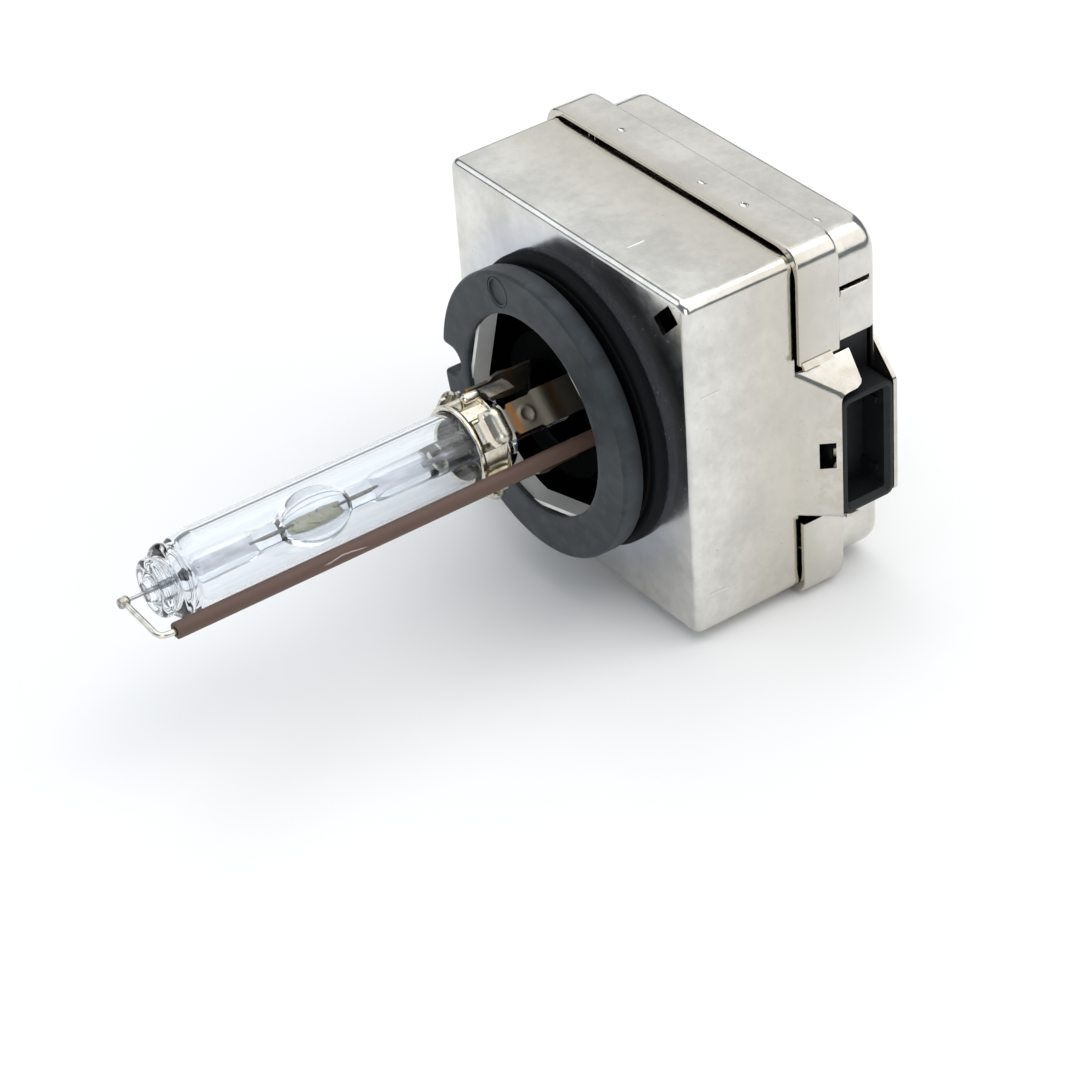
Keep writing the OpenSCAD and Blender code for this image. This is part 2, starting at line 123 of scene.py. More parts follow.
class BULB_PG_base(bpy.types.PropertyGroup):
    """Sizes of the keyed base"""

    opening: length("Opening", "Radius of the disc's opening", 11.3)
    rim: length("Rim", "Radius of the disc's outer edges", 0.4)
    notch: length("Notch", "Half width of the locating notch", 1.6)
    notch_depth: length("Notch depth", "How deep the notch goes into the rim", 3.2)
    tower: length("Tower", "Radius of the tower that carries the claws", 8.3)


class BULB_PG_holder(bpy.types.PropertyGroup):
    """Sizes of the claws and the clamp band"""

    claw: length("Claw", "Width of one claw", 4.0)
    sheet: length("Sheet", "Thickness of the claws' sheet", 0.32)
    bead: length("Bead", "Height of the bead across a claw", 1.02)
    ear: length("Ear", "Radius of the band's rolled ears", 0.55)


class BULB_PG_burner(bpy.types.PropertyGroup):
    """Sizes of the burner"""

    wall: length("Wall", "Thickness of the quartz jacket", 0.85)
    vessel: length("Vessel", "Outer radius of the discharge vessel", 2.95)
    cavity: length("Cavity", "Inner radius of the discharge vessel", 1.45)
    lead: length("Lead", "Radius of the front lead outside the quartz", 0.19)
    wire: length("Wire", "Radius of the return wire", 0.32)


class BULB_PG_colours(bpy.types.PropertyGroup):
    """Colours of the finishes that show"""

    plating: colour("Plating", "Nickel plated steel", (0.75, 0.735, 0.695))
    base: colour("Base", "Grey-black base plastic", (0.038, 0.044, 0.049))
    rubber: colour("Rubber", "Sealing ring", (0.003, 0.0035, 0.004))
    ceramic: colour("Ceramic", "Brown insulating tube", (0.104, 0.058, 0.044))
    quartz: colour("Quartz", "Tint of the clear quartz", (0.94, 0.962, 0.985))
    salts: colour("Salts", "Metal salts in the vessel", (0.72, 0.68, 0.42))
    claw: colour("Claw", "Spring steel of the claws", (0.24, 0.215, 0.175))
    band: colour("Band", "Bright steel of the band", (0.7, 0.67, 0.58))
    # A warm tan on the sheet towards the seam and in patches on the hood.
    warm_tan: colour("Warm_tan", "Handled plating towards the seam", (0.5, 0.455, 0.375))
    # Painted reflection: the bluish cast on the front face round the base.
    painted_blue_reflection: colour("Blue_reflection", "Bluish plating round the base", (0.3, 0.38, 0.56))
    heat: colour("Heat", "Heat tint behind the beads", (0.33, 0.15, 0.045))


GROUPS = {
    "bulb_box": BULB_PG_box,
    "bulb_base": BULB_PG_base,
    "bulb_holder": BULB_PG_holder,
    "bulb_burner": BULB_PG_burner,
    "bulb_colours": BULB_PG_colours,
}


def settings(name):
    """One group of settings of the scene."""
    return getattr(bpy.context.scene, name)


def mm(group, name):
    """One size setting, in millimetres."""
    return getattr(settings(group), name) / MM


# ---- Shader maths ----


class Term:
    """An output socket, so that shader maths can be written as an expression."""

    def __init__(self, paint, socket):
        self.paint, self.socket = paint, socket

    def _math(self, operation, first, second):
        return self.paint.node("ShaderNodeMath", {"operation": operation}, {0: first, 1: second})

    def __add__(self, other):
        return self._math("ADD", self, other)

    def __radd__(self, other):
        return self._math("ADD", other, self)

    def __sub__(self, other):
        return self._math("SUBTRACT", self, other)

    def __rsub__(self, other):
        return self._math("SUBTRACT", other, self)

    def __mul__(self, other):
        return self._math("MULTIPLY", self, other)

    def clear(self, start, end):
        """0 at start, 1 at end, and smooth between them."""
        return self.paint.node(
            "ShaderNodeMapRange",
            {"interpolation_type": "SMOOTHSTEP"},
            {"Value": self, "From Min": start, "From Max": end},
        )

    def near(self, middle, reach):
        """1 at middle, and down to 0 a reach away from it."""
        away = self.paint.node("ShaderNodeMath", {"operation": "ABSOLUTE"}, {0: self - middle})
        return 1 - away.clear(0.0, reach)


class Paint:
    """A material, with one method that adds any node to it."""

    def __init__(self, name):
        self.material = bpy.data.materials.new(name + "_finish")
        self.material.use_nodes = True
        self.tree = self.material.node_tree
        self.shader = self.tree.nodes["Principled BSDF"]

    def node(self, kind, setup=None, values=None, output=0):
        """Adds a node: its settings first, then the values or links of its sockets."""
        made = self.tree.nodes.new(kind)
        for key, value in (setup or {}).items():
            setattr(made, key, value)
        for key, value in (values or {}).items():
            self.feed(made.inputs[key], value)
        return Term(self, made.outputs[output])

    def feed(self, socket, value):
        """Links a term to a socket, or sets the socket to a plain value."""
        if isinstance(value, Term):
            self.tree.links.new(value.socket, socket)
        else:
            socket.default_value = value

    def surface(self, **values):
        """Sets the shader's sockets, named with underscores."""
        for key, value in values.items():
            if isinstance(value, tuple):
                value = (*value, 1.0)
            self.feed(self.shader.inputs[key.replace("_", " ")], value)
        return self.material

    def place(self):
        """Where the surface is, in millimetres."""
        here = self.node("ShaderNodeTexCoord", output=3)
        return self.node(
            "ShaderNodeVectorMath", {"operation": "SCALE"}, {0: here, "Scale": 1 / MM}
        )

    def stretched(self, where, x, y, z):
        """A place scaled along each axis, which draws a pattern out the other way."""
        return self.node("ShaderNodeVectorMath", {"operation": "MULTIPLY"}, {0: where, 1: (x, y, z)})

    def along(self, where):
        """The X, Y and Z of a place, as three terms."""
        split = self.node("ShaderNodeSeparateXYZ", None, {0: where})
        return [Term(self, out) for out in split.socket.node.outputs]

    def cloud(self, where, scale, detail=4.0, rough=0.55):
        """Soft noise, with its scale in waves per millimetre."""
        return self.node(
            "ShaderNodeTexNoise", None,
            {"Vector": where, "Scale": scale, "Detail": detail, "Roughness": rough},
        )

    def mix(self, factor, first, second):
        """Two colours mixed by a factor."""
        return self.node(
            "ShaderNodeMix", {"data_type": "RGBA"},
            {0: factor, 6: colour_of(first), 7: colour_of(second)}, 2,
        )

    def relief(self, height, depth, strength=1.0, normal=None):
        """A bump whose height is given in millimetres."""
        values = {"Height": height, "Distance": depth * MM, "Strength": strength}
        if normal:
            values["Normal"] = normal
        return self.node("ShaderNodeBump", None, values)


def colour_of(value):
    """What a colour socket takes: a term as it is, and a tuple with its alpha."""
    return value if isinstance(value, Term) else (*value, 1.0)


def shade(tone, factor):
    """A colour made lighter or darker."""
    return tuple(min(1.0, c * factor) for c in tone)


# ---- Finishes ----


def tone(name):
    """One of the scene's colours."""
    return tuple(getattr(settings("bulb_colours"), name))


def plated_steel():
    """Nickel plated sheet: cloudy, slightly wavy, tanned towards the seam and on the hood, with a
    painted blue reflection on the front face round the base."""
    paint = Paint("plated_steel")
    where = paint.place()
    clouds = paint.cloud(where, 0.13, 5.0)
    blotches = paint.cloud(where, 0.75, 5.0, 0.62)
    drawn = paint.cloud(paint.stretched(where, 3.0, 0.35, 3.0), 2.2, 3.0)
    specks = paint.cloud(where, 4.5, 2.0).clear(0.66, 0.74)
    wear = (clouds * 0.7 + blotches * 0.3).clear(0.3, 0.7)
    metal = paint.mix(wear, shade(tone("plating"), 0.76), shade(tone("plating"), 1.08))
    across, depth, _ = paint.along(where)
    past_seam = depth.clear(SEAM_Y, SEAM_Y + 3)
    # Warmer tan towards the seam, with less of it past the seam.
    tan = depth.clear(6.0, SEAM_Y) * (0.3 + clouds * 0.55) * (1 - past_seam * 0.65)
    metal = paint.mix(tan, metal, tone("warm_tan"))
    out = paint.node(
        "ShaderNodeVectorMath", {"operation": "LENGTH"}, {0: paint.stretched(where, 1, 0, 1)}, 1
    )
    pressed = across.clear(BOX_W / 2 + 0.6, BOX_W / 2 + 1.4) * blotches.clear(0.35, 0.62)
    metal = paint.mix(pressed * 0.6, metal, tone("warm_tan"))
    # Painted reflection: a bluish cast on the front face round the base, with the metal turned down a
    # little there so that it shows.
    blue_reflection_mask = depth.clear(FRONT_Y + 0.35, FRONT_Y + 0.05) * out.clear(22.0, 15.0)
    metal = paint.mix(blue_reflection_mask * 0.42, metal, tone("painted_blue_reflection"))
    metal = paint.mix(specks * 0.4, metal, (0.25, 0.23, 0.2))
    gloss = 0.07 + wear * 0.06 + blotches * 0.08 + drawn * 0.04 + specks * 0.12
    waves = paint.relief(paint.cloud(where, 0.09, 2.0, 0.4), 0.5, 0.6)
    grain = paint.relief(drawn * 0.5 + blotches * 0.5, 0.02, 0.4, waves)
    return paint.surface(
        Base_Color=metal, Metallic=1 - blue_reflection_mask * 0.14, Roughness=gloss, Normal=grain
    )


def insert_steel():
    """Plain pressed steel of the insert: satin, with drawing lines. Its near-white, barely metallic
    colour is a painted reflection of the pale floor.
    """
    paint = Paint("insert_steel")
    where = paint.place()
    lines = paint.cloud(paint.stretched(where, 1.0, 9.0, 1.0), 1.4, 3.0)
    clouds = paint.cloud(where, 0.7)
    # Painted reflection: the pale floor's brightness is put into the colour.
    metal = paint.mix(clouds, (0.8, 0.8, 0.77), (0.93, 0.93, 0.9))
    return paint.surface(
        Base_Color=metal, Metallic=0.2, Roughness=0.42 + lines * 0.16,
        Normal=paint.relief(lines, 0.01, 0.5),
    )


def seal_rubber():
    """Matt black rubber with dust in its pores."""
    paint = Paint("seal_rubber")
    where = paint.place()
    pores = paint.cloud(where, 7.0, 3.0)
    dust = paint.cloud(where, 0.8, 5.0).clear(0.55, 0.8)
    black = paint.mix(dust * 0.5, tone("rubber"), shade(tone("rubber"), 2.6))
    return paint.surface(
        Base_Color=black, Roughness=0.62 + pores * 0.2, Specular_IOR_Level=0.16,
        Normal=paint.relief(pores, 0.03, 0.6),
    )


def moulded(name, dark, light, rough, grain=0.02, shaded_depths=None, gloss=0.5):
    """Moulded plastic with a fine grain, flow marks and polished spots.

    Between the two given depths it is painted black, as shade in a hollow. There it is also made
    metallic with a black tint, which takes away the sheen that a glancing view would give it.
    """
    paint = Paint(name)
    where = paint.place()
    fine = paint.cloud(where, 11.0, 2.0)
    flow = paint.cloud(paint.stretched(where, 1.0, 0.4, 1.6), 0.35, 5.0)
    rubbed = paint.cloud(where, 0.55, 6.0, 0.62).clear(0.52, 0.7)
    plastic = paint.mix(flow.clear(0.3, 0.7), dark, light)
    plastic = paint.mix(rubbed * 0.3, plastic, shade(light, 1.5))
    shade_metallic, tint = 0.0, (1.0, 1.0, 1.0)
    if shaded_depths:
        start, end = shaded_depths
        depth = paint.along(where)[1]
        # Painted shade: the plastic goes near black with depth.
        plastic = paint.mix(depth.clear(start, end) * 0.85, plastic, (0.002, 0.002, 0.002))
        shade_metallic, tint = depth.clear(end - 0.6, end) * 0.95, (0.0, 0.0, 0.0)
    normal = paint.relief(fine, grain, 0.5, paint.relief(flow, 0.12, 0.25))
    return paint.surface(
        Base_Color=plastic, Roughness=rough + fine * 0.1 - rubbed * 0.07, Metallic=shade_metallic,
        Normal=normal, Specular_IOR_Level=gloss, Specular_Tint=tint,
    )


def claw_steel():
    """Spring steel that the welding has tinted brown and orange behind each bead."""
    paint = Paint("claw_steel")
    where = paint.place()
    depth = paint.along(where)[1]
    stain = paint.cloud(where, 0.8, 4.0)
    fine = paint.cloud(paint.stretched(where, 1.0, 0.3, 1.0), 6.0, 3.0)
    bright = depth.clear(-5.0, -5.9)
    steel = paint.mix(bright, shade(tone("claw"), 0.72), tone("band"))
    steel = paint.mix(stain * 0.5, steel, shade(tone("claw"), 0.8))
    tinted = depth.near(-4.55, 0.75) * (0.55 + stain * 0.7)
    steel = paint.mix(tinted, steel, tone("heat"))
    brown = depth.near(0.5, 1.3) * (0.35 + stain * 0.6)
    steel = paint.mix(brown, steel, shade(tone("heat"), 0.55))
    return paint.surface(
        Base_Color=steel, Metallic=1.0, Roughness=0.17 + (1 - bright) * 0.2 + fine * 0.12 + stain * 0.1,
        Normal=paint.relief(fine * 0.4 + stain, 0.035, 0.6),
    )


def band_steel():
    """Bright band, faintly straw-coloured by heat."""
    paint = Paint("band_steel")
    where = paint.place()
    straw = paint.cloud(where, 1.1, 3.0)
    fine = paint.cloud(where, 8.0, 2.0)
    steel = paint.mix(straw.clear(0.4, 0.75), tone("band"), (0.56, 0.47, 0.28))
    return paint.surface(
        Base_Color=steel, Metallic=1.0, Roughness=0.14 + fine * 0.14,
        Normal=paint.relief(fine, 0.02, 0.4),
    )


def quartz(name, haze, ripple):
    """Clear quartz whose wall ripples slightly, hazed where it was worked."""
    paint = Paint(name)
    where = paint.place()
    depth = paint.along(where)[1]
    swirl = paint.cloud(paint.stretched(where, 1.0, 0.22, 1.0), 0.8, 2.0)
    smoke = paint.cloud(where, 0.5, 4.0).clear(0.5, 0.8)
    worked = depth.clear(JACKET_TIP + 6, JACKET_TIP + 2) * 0.006
    return paint.surface(
        Base_Color=tone("quartz"), Roughness=smoke * haze + worked, IOR=1.458,
        Transmission_Weight=1.0, Normal=paint.relief(swirl, ripple, 0.5),
    )


def metal_salts():
    """Yellowish salts that have settled on the vessel's wall."""
    paint = Paint("metal_salts")
    where = paint.place()
    crust = paint.cloud(where, 3.0, 5.0, 0.6)
    salt = paint.mix(crust, shade(tone("salts"), 0.75), shade(tone("salts"), 1.35))
    grit = paint.cloud(where, 1.7, 3.0, 0.6).clear(0.56, 0.64)
    salt = paint.mix(grit * 0.85, salt, shade(tone("salts"), 0.28))
    return paint.surface(
        Base_Color=salt, Roughness=0.35 + crust * 0.3, Subsurface_Weight=0.2,
        Normal=paint.relief(crust, 0.12, 0.7),
    )


def metal(name, dark, light, rough, size, stretch=(1, 1, 1), depth=0.02):
    """A metal whose colour and gloss vary at one scale, in one direction."""
    paint = Paint(name)
    where = paint.stretched(paint.place(), *stretch)
    drift = paint.cloud(where, size, 4.0)
    fine = paint.cloud(where, size * 7, 2.0)
    return paint.surface(
        Base_Color=paint.mix(drift.clear(0.3, 0.7), dark, light), Metallic=1.0,
        Roughness=rough + fine * 0.15, Normal=paint.relief(fine + drift, depth, 0.4),
    )


def molybdenum():
    """Grey lead and foil metal, blackened where the lead is welded."""
    paint = Paint("molybdenum")
    where = paint.place()
    depth = paint.along(where)[1]
    drift = paint.cloud(paint.stretched(where, 1.0, 0.2, 1.0), 1.0, 4.0)
    grey = paint.mix(drift.clear(0.3, 0.7), (0.3, 0.31, 0.34), (0.55, 0.56, 0.6))
    burnt = depth.near(-42.5, 0.9).clear(0.0, 0.35)
    return paint.surface(
        Base_Color=paint.mix(burnt, grey, (0.012, 0.014, 0.03)), Metallic=1 - burnt * 0.6,
        Roughness=0.26 + drift * 0.14, Normal=paint.relief(drift, 0.02, 0.4),
    )


def brown_ceramic():
    """Unglazed brown ceramic, with fine pores and one light scuff along it."""
    paint = Paint("brown_ceramic")
    where = paint.place()
    _, depth, height = paint.along(where)
    pores = paint.cloud(where, 9.0, 2.0)
    drift = paint.cloud(paint.stretched(where, 1.0, 0.2, 1.0), 1.0, 4.0)
    wobble = paint.cloud(where, 0.3, 3.0)
    clay = paint.mix(drift, shade(tone("ceramic"), 0.86), shade(tone("ceramic"), 1.12))
    line = (height - wobble * 0.8).near(TUBE_MID.z - 0.1, 0.1) * depth.near(-28.0, 3.0).clear(0.0, 0.3)
    clay = paint.mix(line * 0.9, clay, (0.5, 0.43, 0.39))
    return paint.surface(
        Base_Color=clay, Roughness=0.46 + pores * 0.2, Normal=paint.relief(pores, 0.02, 0.5)
    )


def wound_wire():
    """Lacquered copper wire, laid side by side, with painted shade in the grooves between the turns."""
    paint = Paint("copper_wire")
    where = paint.place()
    turns = paint.node(
        "ShaderNodeTexWave", {"bands_direction": "Z"},
        {"Vector": where, "Scale": 0.8, "Distortion": 0.6, "Detail": 1.0},
    )
    drift = paint.cloud(where, 1.2)
    copper = paint.mix(drift, (0.33, 0.11, 0.04), (0.56, 0.23, 0.1))
    # Painted shade: the grooves between the turns are darkened.
    return paint.surface(
        Base_Color=paint.mix((1 - turns) * 0.7, copper, (0.08, 0.025, 0.01)), Metallic=0.85,
        Roughness=0.25 + drift * 0.2, Normal=paint.relief(turns, 0.15, 0.8),
    )


def board_laminate():
    """Green laminate with copper tracks showing under its lacquer."""
    paint = Paint("board_laminate")
    where = paint.place()
    cells = paint.node(
        "ShaderNodeTexVoronoi", {"distance": "MANHATTAN", "feature": "F1"},
        {"Vector": paint.stretched(where, 1.0, 0.0, 1.0), "Scale": 0.3},
    )
    tracks = cells.clear(0.32, 0.36)
    weave = paint.cloud(where, 6.0, 2.0)
    green = paint.mix(tracks, (0.012, 0.09, 0.035), (0.02, 0.16, 0.06))
    return paint.surface(
        Base_Color=paint.mix(weave * 0.3, green, (0.03, 0.12, 0.05)), Roughness=0.28 + weave * 0.1,
        Normal=paint.relief(tracks + weave * 0.2, 0.04, 0.6),
    )


def foam():
    """Open-cell grey foam, with painted shade in its pits."""
    paint = Paint("foam")
    where = paint.place()
    cells = paint.node(
        "ShaderNodeTexVoronoi", {"feature": "SMOOTH_F1"}, {"Vector": where, "Scale": 2.2}
    )
    # Painted shade: each cell is darker towards its hollow middle.
    grey = paint.mix(cells, (0.05, 0.05, 0.055), (0.16, 0.16, 0.17))
    return paint.surface(Base_Color=grey, Roughness=0.9, Normal=paint.relief(cells, 0.5, 0.8))


FINISHES = {
    "plated_steel": plated_steel,
    "seal_rubber": seal_rubber,
    # Painted shade blackens the base's cavity and tower between 0.8 and 3.2 mm behind the front face.
    "base_plastic": lambda: moulded(
        "base_plastic", tone("base"), shade(tone("base"), 1.35), 0.36, 0.012, (0.8, 3.2), 0.3
    ),
    "insert_steel": insert_steel,
    "claw_steel": claw_steel,
    "band_steel": band_steel,
    "jacket_quartz": lambda: quartz("jacket_quartz", 0.0, 0.004),
    "vessel_quartz": lambda: quartz("vessel_quartz", 0.004, 0.014),
    "metal_salts": metal_salts,
    "tungsten": lambda: metal("tungsten", (0.12, 0.12, 0.12), (0.24, 0.23, 0.22), 0.34, 1.5),
    "molybdenum": molybdenum,
    "weld_metal": lambda: metal(
        "weld_metal", (0.3, 0.28, 0.25), (0.62, 0.6, 0.56), 0.24, 1.6, depth=0.08
    ),
    "nickel_wire": lambda: metal(
        "nickel_wire", (0.52, 0.5, 0.45), (0.78, 0.76, 0.7), 0.18, 1.2, (1, 0.15, 1)
    ),
    "brown_ceramic": brown_ceramic,
    "contact_brass": lambda: metal(
        "contact_brass", (0.5, 0.35, 0.12), (0.72, 0.53, 0.22), 0.26, 0.9
    ),
    "connector_plastic": lambda: moulded(
        "connector_plastic", (0.006, 0.007, 0.008), (0.011, 0.012, 0.014), 0.42, gloss=0.28
    ),
    "pin_plating": lambda: metal("pin_plating", (0.62, 0.46, 0.2), (0.8, 0.62, 0.3), 0.2, 1.5),
    "tray_plastic": lambda: moulded("tray_plastic", (0.012, 0.012, 0.014), (0.02, 0.02, 0.023), 0.5),
    "board_laminate": board_laminate,
    "ferrite": lambda: moulded("ferrite", (0.02, 0.02, 0.022), (0.045, 0.044, 0.046), 0.55, 0.05),
    "bobbin_plastic": lambda: moulded("bobbin_plastic", (0.5, 0.47, 0.38), (0.6, 0.57, 0.48), 0.45),
    "copper_wire": wound_wire,
    "white_ceramic": lambda: moulded("white_ceramic", (0.7, 0.69, 0.66), (0.8, 0.79, 0.77), 0.3),
    "cap_nickel": lambda: metal("cap_nickel", (0.5, 0.49, 0.46), (0.66, 0.65, 0.61), 0.22, 0.8),
    "capacitor_case": lambda: moulded("capacitor_case", (0.3, 0.03, 0.02), (0.4, 0.05, 0.03), 0.3),
    "resistor_lacquer": lambda: moulded("resistor_lacquer", (0.2, 0.32, 0.42), (0.3, 0.44, 0.54), 0.35),
    "foam": foam,
}


made_finishes = {}


def finish_of(slot):
    """The material of one slot of the record, made when it is first asked for."""
    if slot not in made_finishes:
        made_finishes[slot] = FINISHES[slot]()
    return made_finishes[slot]


# ---- Mesh helpers ----


CREASE = math.radians(32)
WELD = 2e-7


def mesh_piece(name, parts):
    """An object from one or more (points, faces) pairs, with the points in millimetres."""
    points, faces = [], []
    for part_points, part_faces in parts:
        start = len(points)
        points += part_points
        faces += [tuple(start + i for i in face) for face in part_faces]
    mesh = bpy.data.meshes.new(name)
    mesh.from_pydata([Vector(p) * MM for p in points], [], faces)
    piece = bpy.data.objects.new(name, mesh)
    bpy.context.scene.collection.objects.link(piece)
    tidy(piece)
    return piece


def tidy(piece):
    """Welds doubles, turns the faces outwards and keeps only the sharp edges sharp."""
    net = bmesh.new()
    net.from_mesh(piece.data)
    bmesh.ops.remove_doubles(net, verts=net.verts, dist=WELD)
    bmesh.ops.recalc_face_normals(net, faces=net.faces)
    for face in net.faces:
        face.smooth = True
    for edge in net.edges:
        edge.smooth = len(edge.link_faces) == 2 and edge.calc_face_angle(0) < CREASE
    net.to_mesh(piece.data)
    net.free()


def bake(piece):
    """Replaces a piece's mesh by what its modifiers make of it."""
    bpy.context.view_layer.update()
    graph = bpy.context.evaluated_depsgraph_get()
    made = bpy.data.meshes.new_from_object(piece.evaluated_get(graph))
    made.name = piece.name
    piece.modifiers.clear()
    piece.data = made


def cut(piece, *tools):
    """Takes the tools' volumes out of a piece."""
    for tool in tools:
        step = piece.modifiers.new("cut", "BOOLEAN")
        step.operation, step.solver, step.object = "DIFFERENCE", "EXACT", tool
    bake(piece)
    for tool in tools:
        bpy.data.objects.remove(tool)
    tidy(piece)


def done(piece, slot, *nodes):
    """Gives a piece its finish and smooth shading, hangs it under the root body and hides the CAD nodes
    it stands for.
    """
    smooth = piece.modifiers.new("shading", "WEIGHTED_NORMAL")
    smooth.keep_sharp = True
    piece.data.materials.clear()
    piece.data.materials.append(finish_of(slot))
    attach(piece, "root")
    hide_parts(*nodes)
    return piece


def skin(loops, ring=False, first=False, last=False):
    """Faces through equal loops. ring joins the last loop to the first one."""
    count = len(loops[0])
    points = [p for loop in loops for p in loop]
    faces = []
    for i in range(len(loops) if ring else len(loops) - 1):
        here, there = i * count, (i + 1) % len(loops) * count
        for j in range(count):
            k = (j + 1) % count
            faces.append((here + j, here + k, there + k, there + j))
    if first:
        faces.append(tuple(reversed(range(count))))
    if last:
        faces.append(tuple(range(len(points) - count, len(points))))
    return points, faces


def turned(profile, count=96, ring=False):
    """A [radius, y] profile turned about the Y axis."""
    loops = []
    for radius, y in profile:
        turn = [2 * math.pi * i / count for i in range(count)]
        loops.append([(radius * math.cos(a), y, radius * math.sin(a)) for a in turn])
    return skin(loops, ring)


def soften(corners, radius, steps=4, closed=False):
    """A line with its corners rounded. A corner may carry a radius of its own."""
    spots = [Vector(c[0]) if isinstance(c[0], tuple) else Vector(c) for c in corners]
    sizes = [c[1] if isinstance(c[0], tuple) else radius for c in corners]
    line = []
    for i, spot in enumerate(spots):
        if not closed and i in (0, len(spots) - 1):
            line.append(tuple(spot))
            continue
        before, after = spots[i - 1] - spot, spots[(i + 1) % len(spots)] - spot
        reach = min(sizes[i], 0.47 * before.length, 0.47 * after.length)
        if reach < 1e-4:
            line.append(tuple(spot))
            continue
        start, end = spot + before.normalized() * reach, spot + after.normalized() * reach
        for k in range(steps + 1):
            t = k / steps
            line.append(tuple((1 - t) ** 2 * start + 2 * t * (1 - t) * spot + t * t * end))
    return line


def rounded(width, height, radius, arc=6, side=14):
    """Points round a rectangle with round corners, about its own middle."""
    points = []
    for k, (sx, sy) in enumerate(((1, 1), (-1, 1), (-1, -1), (1, -1))):
        middle = Vector((sx * (width / 2 - radius), sy * (height / 2 - radius)))
        for i in range(arc + 1):
            turn = math.pi / 2 * (k + i / arc)
            points.append(middle + radius * Vector((math.cos(turn), math.sin(turn))))
    full = []
    for i, point in enumerate(points):
        full.append(tuple(point))
        if i % (arc + 1) == arc:
            after = points[(i + 1) % len(points)]
            full += [tuple(point.lerp(after, j / side)) for j in range(1, side)]
    return full


def plate(grid, thickness):
    """A sheet of an even thickness under a grid of points."""
    rows, cols = len(grid), len(grid[0])
    top = [[Vector(p) for p in row] for row in grid]
    under = []
    for i in range(rows):
        line = []
        for j in range(cols):
            a = top[min(i + 1, rows - 1)][j] - top[max(i - 1, 0)][j]
            b = top[i][min(j + 1, cols - 1)] - top[i][max(j - 1, 0)]
            line.append(top[i][j] - a.cross(b).normalized() * thickness)
        under.append(line)
    points = [tuple(p) for row in top + under for p in row]
    lower = rows * cols
    faces = []
    for i in range(rows - 1):
        for j in range(cols - 1):
            a, b, c, d = i * cols + j, (i + 1) * cols + j, (i + 1) * cols + j + 1, i * cols + j + 1
            faces += [(a, b, c, d), (lower + a, lower + d, lower + c, lower + b)]
    edge = [j for j in range(cols)] + [i * cols + cols - 1 for i in range(1, rows)]
    edge += [(rows - 1) * cols + j for j in range(cols - 2, -1, -1)]
    edge += [i * cols for i in range(rows - 2, 0, -1)]
    for a, b in zip(edge, edge[1:] + edge[:1]):
        faces.append((a, b, lower + b, lower + a))
    return points, faces


def tube(line, radii, count=20):
    """A round bar along a line of points, with a radius at each point."""
    spots = [Vector(p) for p in line]
    loops, side = [], None
    for i, spot in enumerate(spots):
        ahead = (spots[min(i + 1, len(spots) - 1)] - spots[max(i - 1, 0)]).normalized()
        side = ahead.orthogonal() if side is None else side - ahead * side.dot(ahead)
        side.normalize()
        other = ahead.cross(side)
        radius = radii[i] if isinstance(radii, list) else radii
        turn = [2 * math.pi * k / count for k in range(count)]
        loops.append([tuple(spot + radius * (side * math.cos(a) + other * math.sin(a))) for a in turn])
    return skin(loops, first=True, last=True)


def pill(start, end, radius, steps=5):
    """A bar with round ends."""
    start, end = Vector(start), Vector(end)
    ahead = (end - start).normalized()
    line, radii = [], []
    for k in range(steps + 1):
        turn = math.pi / 2 * k / steps
        line.append(start + ahead * radius * (1 - math.cos(turn)))
        radii.append(max(0.02, radius * math.sin(turn)))
    for k in range(steps, -1, -1):
        turn = math.pi / 2 * k / steps
        line.append(end - ahead * radius * (1 - math.cos(turn)))
        radii.append(max(0.02, radius * math.sin(turn)))
    return tube(line, radii)


def block(low_corner, high_corner):
    """A box between two corners."""
    a, b = low_corner, high_corner
    points = [(x, y, z) for x in (a[0], b[0]) for y in (a[1], b[1]) for z in (a[2], b[2])]
    faces = [(0, 1, 3, 2), (4, 6, 7, 5), (0, 4, 5, 1), (2, 3, 7, 6), (0, 2, 6, 4), (1, 5, 7, 3)]
    return points, faces


def prism(outline, y_from, y_to):
    """An outline of (x, z) points made solid along Y."""
    return skin(
        [[(x, y_from, z) for x, z in outline], [(x, y_to, z) for x, z in outline]],
        first=True, last=True,
    )


def turn_about_y(part, angle):
    """A part turned from +X towards +Z by an angle in degrees."""
    turn = Matrix.Rotation(-math.radians(angle), 3, "Y")
    return [tuple(turn @ Vector(p)) for p in part[0]], part[1]


def moved(part, x, y, z):
    """A part moved by x, y and z."""
    return [(p[0] + x, p[1] + y, p[2] + z) for p in part[0]], part[1]


def inset(outline, distance):
    """A closed outline moved inwards. The outline runs anticlockwise."""
    inner = []
    for i, point in enumerate(outline):
        before, after = Vector(outline[i - 1]), Vector(outline[(i + 1) % len(outline)])
        along = (after - before).normalized()
        inner.append((point[0] - along.y * distance, point[1] + along.x * distance))
    return inner


# ---- Igniter box ----


def box_loop(y, grow, radius):
    """A loop round the box at one y, grown outwards from the shell's sides."""
    flat = rounded(BOX_W + 2 * grow, BOX_H + 2 * grow, max(0.2, radius))
    return [(x, y, z + BOX_Z) for x, z in flat]


def neck_loop(like, y, radius):
    """A round loop with a point in the direction of each point of a box loop."""
    return [
        (radius * math.cos(a), y, radius * math.sin(a))
        for a in (math.atan2(z, x) for x, _, z in like)
    ]


def hollow(point):
    """Draws the shell's side in where it turns out to the hood, and lets the front's rim fall back."""
    x, y, z = point
    if x > BOX_W / 2 - 1.2:
        x -= mm("bulb_box", "dent") * math.exp(-(((y - 16.8) / 2.4) ** 2) - ((z + 2.6) / 5.6) ** 2)
    if y < FRONT_Y + 0.6:
        away = max(abs(x) / (BOX_W / 2), abs(z) / (BOX_H / 2))
        y += 0.16 * max(0.0, away - 0.82) ** 2
    return x, y, z


